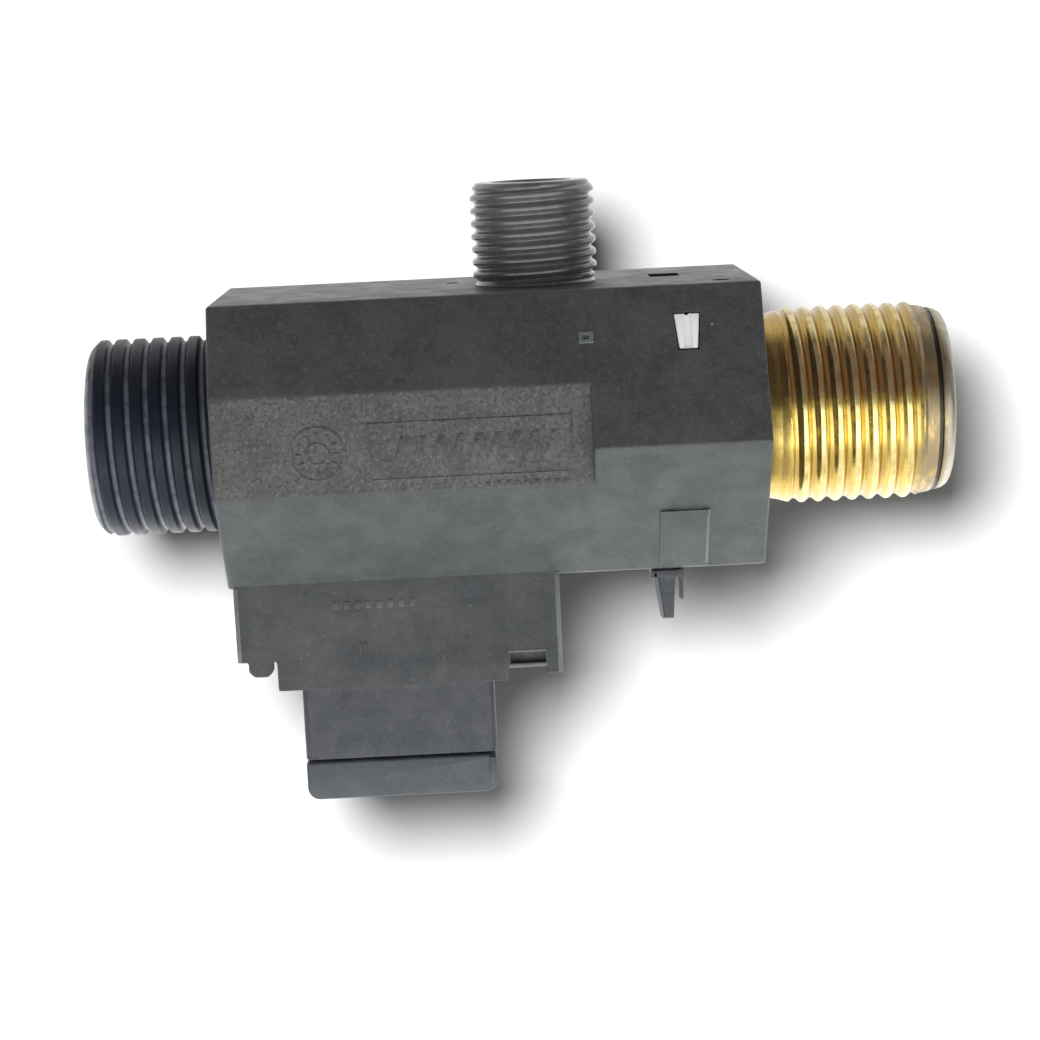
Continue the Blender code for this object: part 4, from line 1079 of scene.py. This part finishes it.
def make_spring():
    """Plunger spring with closed end coils, drawn at one length; in the valve it shortens as the
    armature lifts.
    """
    low, high, turns, per_turn = -23.54, -15.96, 8.0, 28
    path = []
    for step in range(round(turns * per_turn) + 1):
        turn = step / per_turn
        rise = min(max((turn - 0.9) / (turns - 1.8), 0), 1)
        height = low + 0.26 * min(turn, 0.9) + 0.26 * max(turn - (turns - 0.9), 0)
        height += (high - low - 0.47) * rise
        angle = 2 * math.pi * turn
        path.append((COIL_X + 1.3 * math.cos(angle), 1.3 * math.sin(angle), height))
    spring = tube_mesh("wound_spring", [path], 0.24, 10, False, (0, 0, 1))
    finish_piece(spring, "stainless", "plunger_spring",
                 smooth=60)
    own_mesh(spring)


def make_winding():
    """Copper winding, one ridge for each turn of its outer layer."""
    low, high, wire = -26.8, -20.8, 0.15
    outline = [(4.7, high), (4.7, low)]
    for turn in range(round((high - low) / (2 * wire))):
        middle = low + wire * (2 * turn + 1)
        outline += arc((6.0 - wire, middle), wire, -70, 70, 4)
    winding = turned("copper_winding", outline, centre=(COIL_X, 0, 0))
    finish_piece(winding, "copper", "coil_winding", smooth=60)


def dress_inner_nodes():
    """CAD pieces that keep their shape take a finished material."""
    kept = {
        "stainless": ("plunger", "guide_tube", "fixed_core"),
        "steel": ("core_nut", "coil_yoke", "flux_plate"),
        "white": ("seal_carrier", "coil_bobbin"),
        "rubber": ("seal_disc",),
        "brass": ("valve_seat",),
    }
    for look, names in kept.items():
        for name in names:
            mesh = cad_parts[name].data
            mesh.materials.clear()
            mesh.materials.append(LOOKS[look])


# ---------------------------------------------------------------- studio

def make_world():
    """Pale room: a soft panel in front, a bright floor below and a light wall behind."""
    world = bpy.data.worlds.new("studio")
    bpy.context.scene.world = world
    nodes = Nodes(world)
    _, y, z = nodes.split(nodes.node("TexCoord", output="Generated"))
    below = nodes.band(z, -0.15, -0.75)
    behind = nodes.band(y, -0.05, 0.45)
    panel = nodes.times(nodes.band(z, -0.8, -0.55), nodes.band(z, 0.1, -0.08))
    front = nodes.times(nodes.band(y, -0.35, -0.7), panel)
    level = 0.2
    for patch, strength in ((below, 1.3), (behind, 0.95), (front, 1.9)):
        level = nodes.maths("ADD", level, nodes.times(patch, strength))
    camera_ray = nodes.node("LightPath", output="Is Camera Ray")
    background = nodes.tree.nodes["Background"]
    seen = nodes.node("Mix", {0: camera_ray, 2: level, 3: 1.0}, data_type="FLOAT")
    nodes.link(seen, background.inputs["Strength"])
    nodes.link((0.98, 0.99, 1.0), background.inputs["Color"])


def make_backdrop_paper():
    """Paper with a faded edge; it darkens towards the lamp, which evens out the light."""
    paper = bpy.data.materials.new("pale_paper")
    nodes = Nodes(paper)
    place = nodes.node("TexCoord", output="Object")
    reach = nodes.vector_maths("DISTANCE", place, LAMP_AT)
    scaled = nodes.maths("DIVIDE", reach, BACKDROP_CENTRE[1] * MM - LAMP_AT[1])
    albedo = nodes.times(nodes.maths("POWER", scaled, 4.0), PAPER_ALBEDO)
    away = nodes.vector_maths("DISTANCE", place, Vector(BACKDROP_CENTRE) * MM)
    faded = nodes.band(away, BACKDROP_FADE * MM, BACKDROP_R * MM)
    gone = nodes.maths("MAXIMUM", faded, nodes.node("NewGeometry", output="Backfacing"))
    shader = nodes.tree.nodes["Principled BSDF"]
    for name, value in (("Base Color", albedo), ("Roughness", 1.0), ("Specular IOR Level", 0.0)):
        nodes.link(value, shader.inputs[name])
    clear = nodes.node("BsdfTransparent")
    surface = nodes.node("MixShader", {0: gone, 1: shader.outputs[0], 2: clear})
    nodes.link(surface, nodes.tree.nodes["Material Output"].inputs["Surface"])
    return paper


def make_backdrop():
    """Pale round surface close behind the valve, which only the camera sees, from its front."""
    bm = bmesh.new()
    bmesh.ops.create_circle(bm, cap_ends=True, segments=96, radius=BACKDROP_R)
    bm.transform(Matrix.Rotation(math.radians(90), 4, "X"))
    bmesh.ops.translate(bm, vec=BACKDROP_CENTRE, verts=bm.verts)
    mesh = bpy.data.meshes.new("backdrop")
    bm.to_mesh(mesh)
    bm.free()
    mesh.transform(Matrix.Scale(MM, 4))
    mesh.materials.append(make_backdrop_paper())
    backdrop = add_object("backdrop", mesh)
    for ray in ("diffuse", "glossy", "transmission", "volume_scatter", "shadow"):
        setattr(backdrop, f"visible_{ray}", False)
    return backdrop


def make_shadow_light(backdrop):
    """Soft round light from the upper left that only the backdrop receives."""
    light = bpy.data.lights.new("shadow_light", "AREA")
    light.shape = "DISK"
    light.size = LAMP_SIZE
    light.energy = LAMP_POWER
    lamp = add_object("shadow_light", light)
    lamp.location = LAMP_AT
    lamp.rotation_mode = "QUATERNION"
    aim = Vector(BACKDROP_CENTRE) * MM - lamp.location
    lamp.rotation_quaternion = aim.to_track_quat("-Z", "Y")
    lamp.visible_camera = False
    receivers = bpy.data.collections.new("backdrop_only")
    receivers.objects.link(backdrop)
    lamp.light_linking.receiver_collection = receivers


def make_camera():
    camera = bpy.data.cameras.new("camera")
    camera.lens = CAMERA_LENS
    camera.sensor_width = 36.0
    camera.clip_start = 0.01
    holder = add_object("camera", camera)
    holder.location = CAMERA_AT
    holder.rotation_euler = [math.radians(angle) for angle in CAMERA_TURN]
    bpy.context.scene.camera = holder


for make in (
    make_body_block, make_spigots, make_front_relief, make_facet_marks, make_edge_strips,
    make_outlet_tail, make_fork, make_case, make_cap, make_blades, make_clip, make_bonnet,
    make_strainer, make_spring, make_winding, dress_inner_nodes, make_world, make_camera,
):
    make()
make_shadow_light(make_backdrop())
bpy.context.scene.view_settings.view_transform = "Standard"
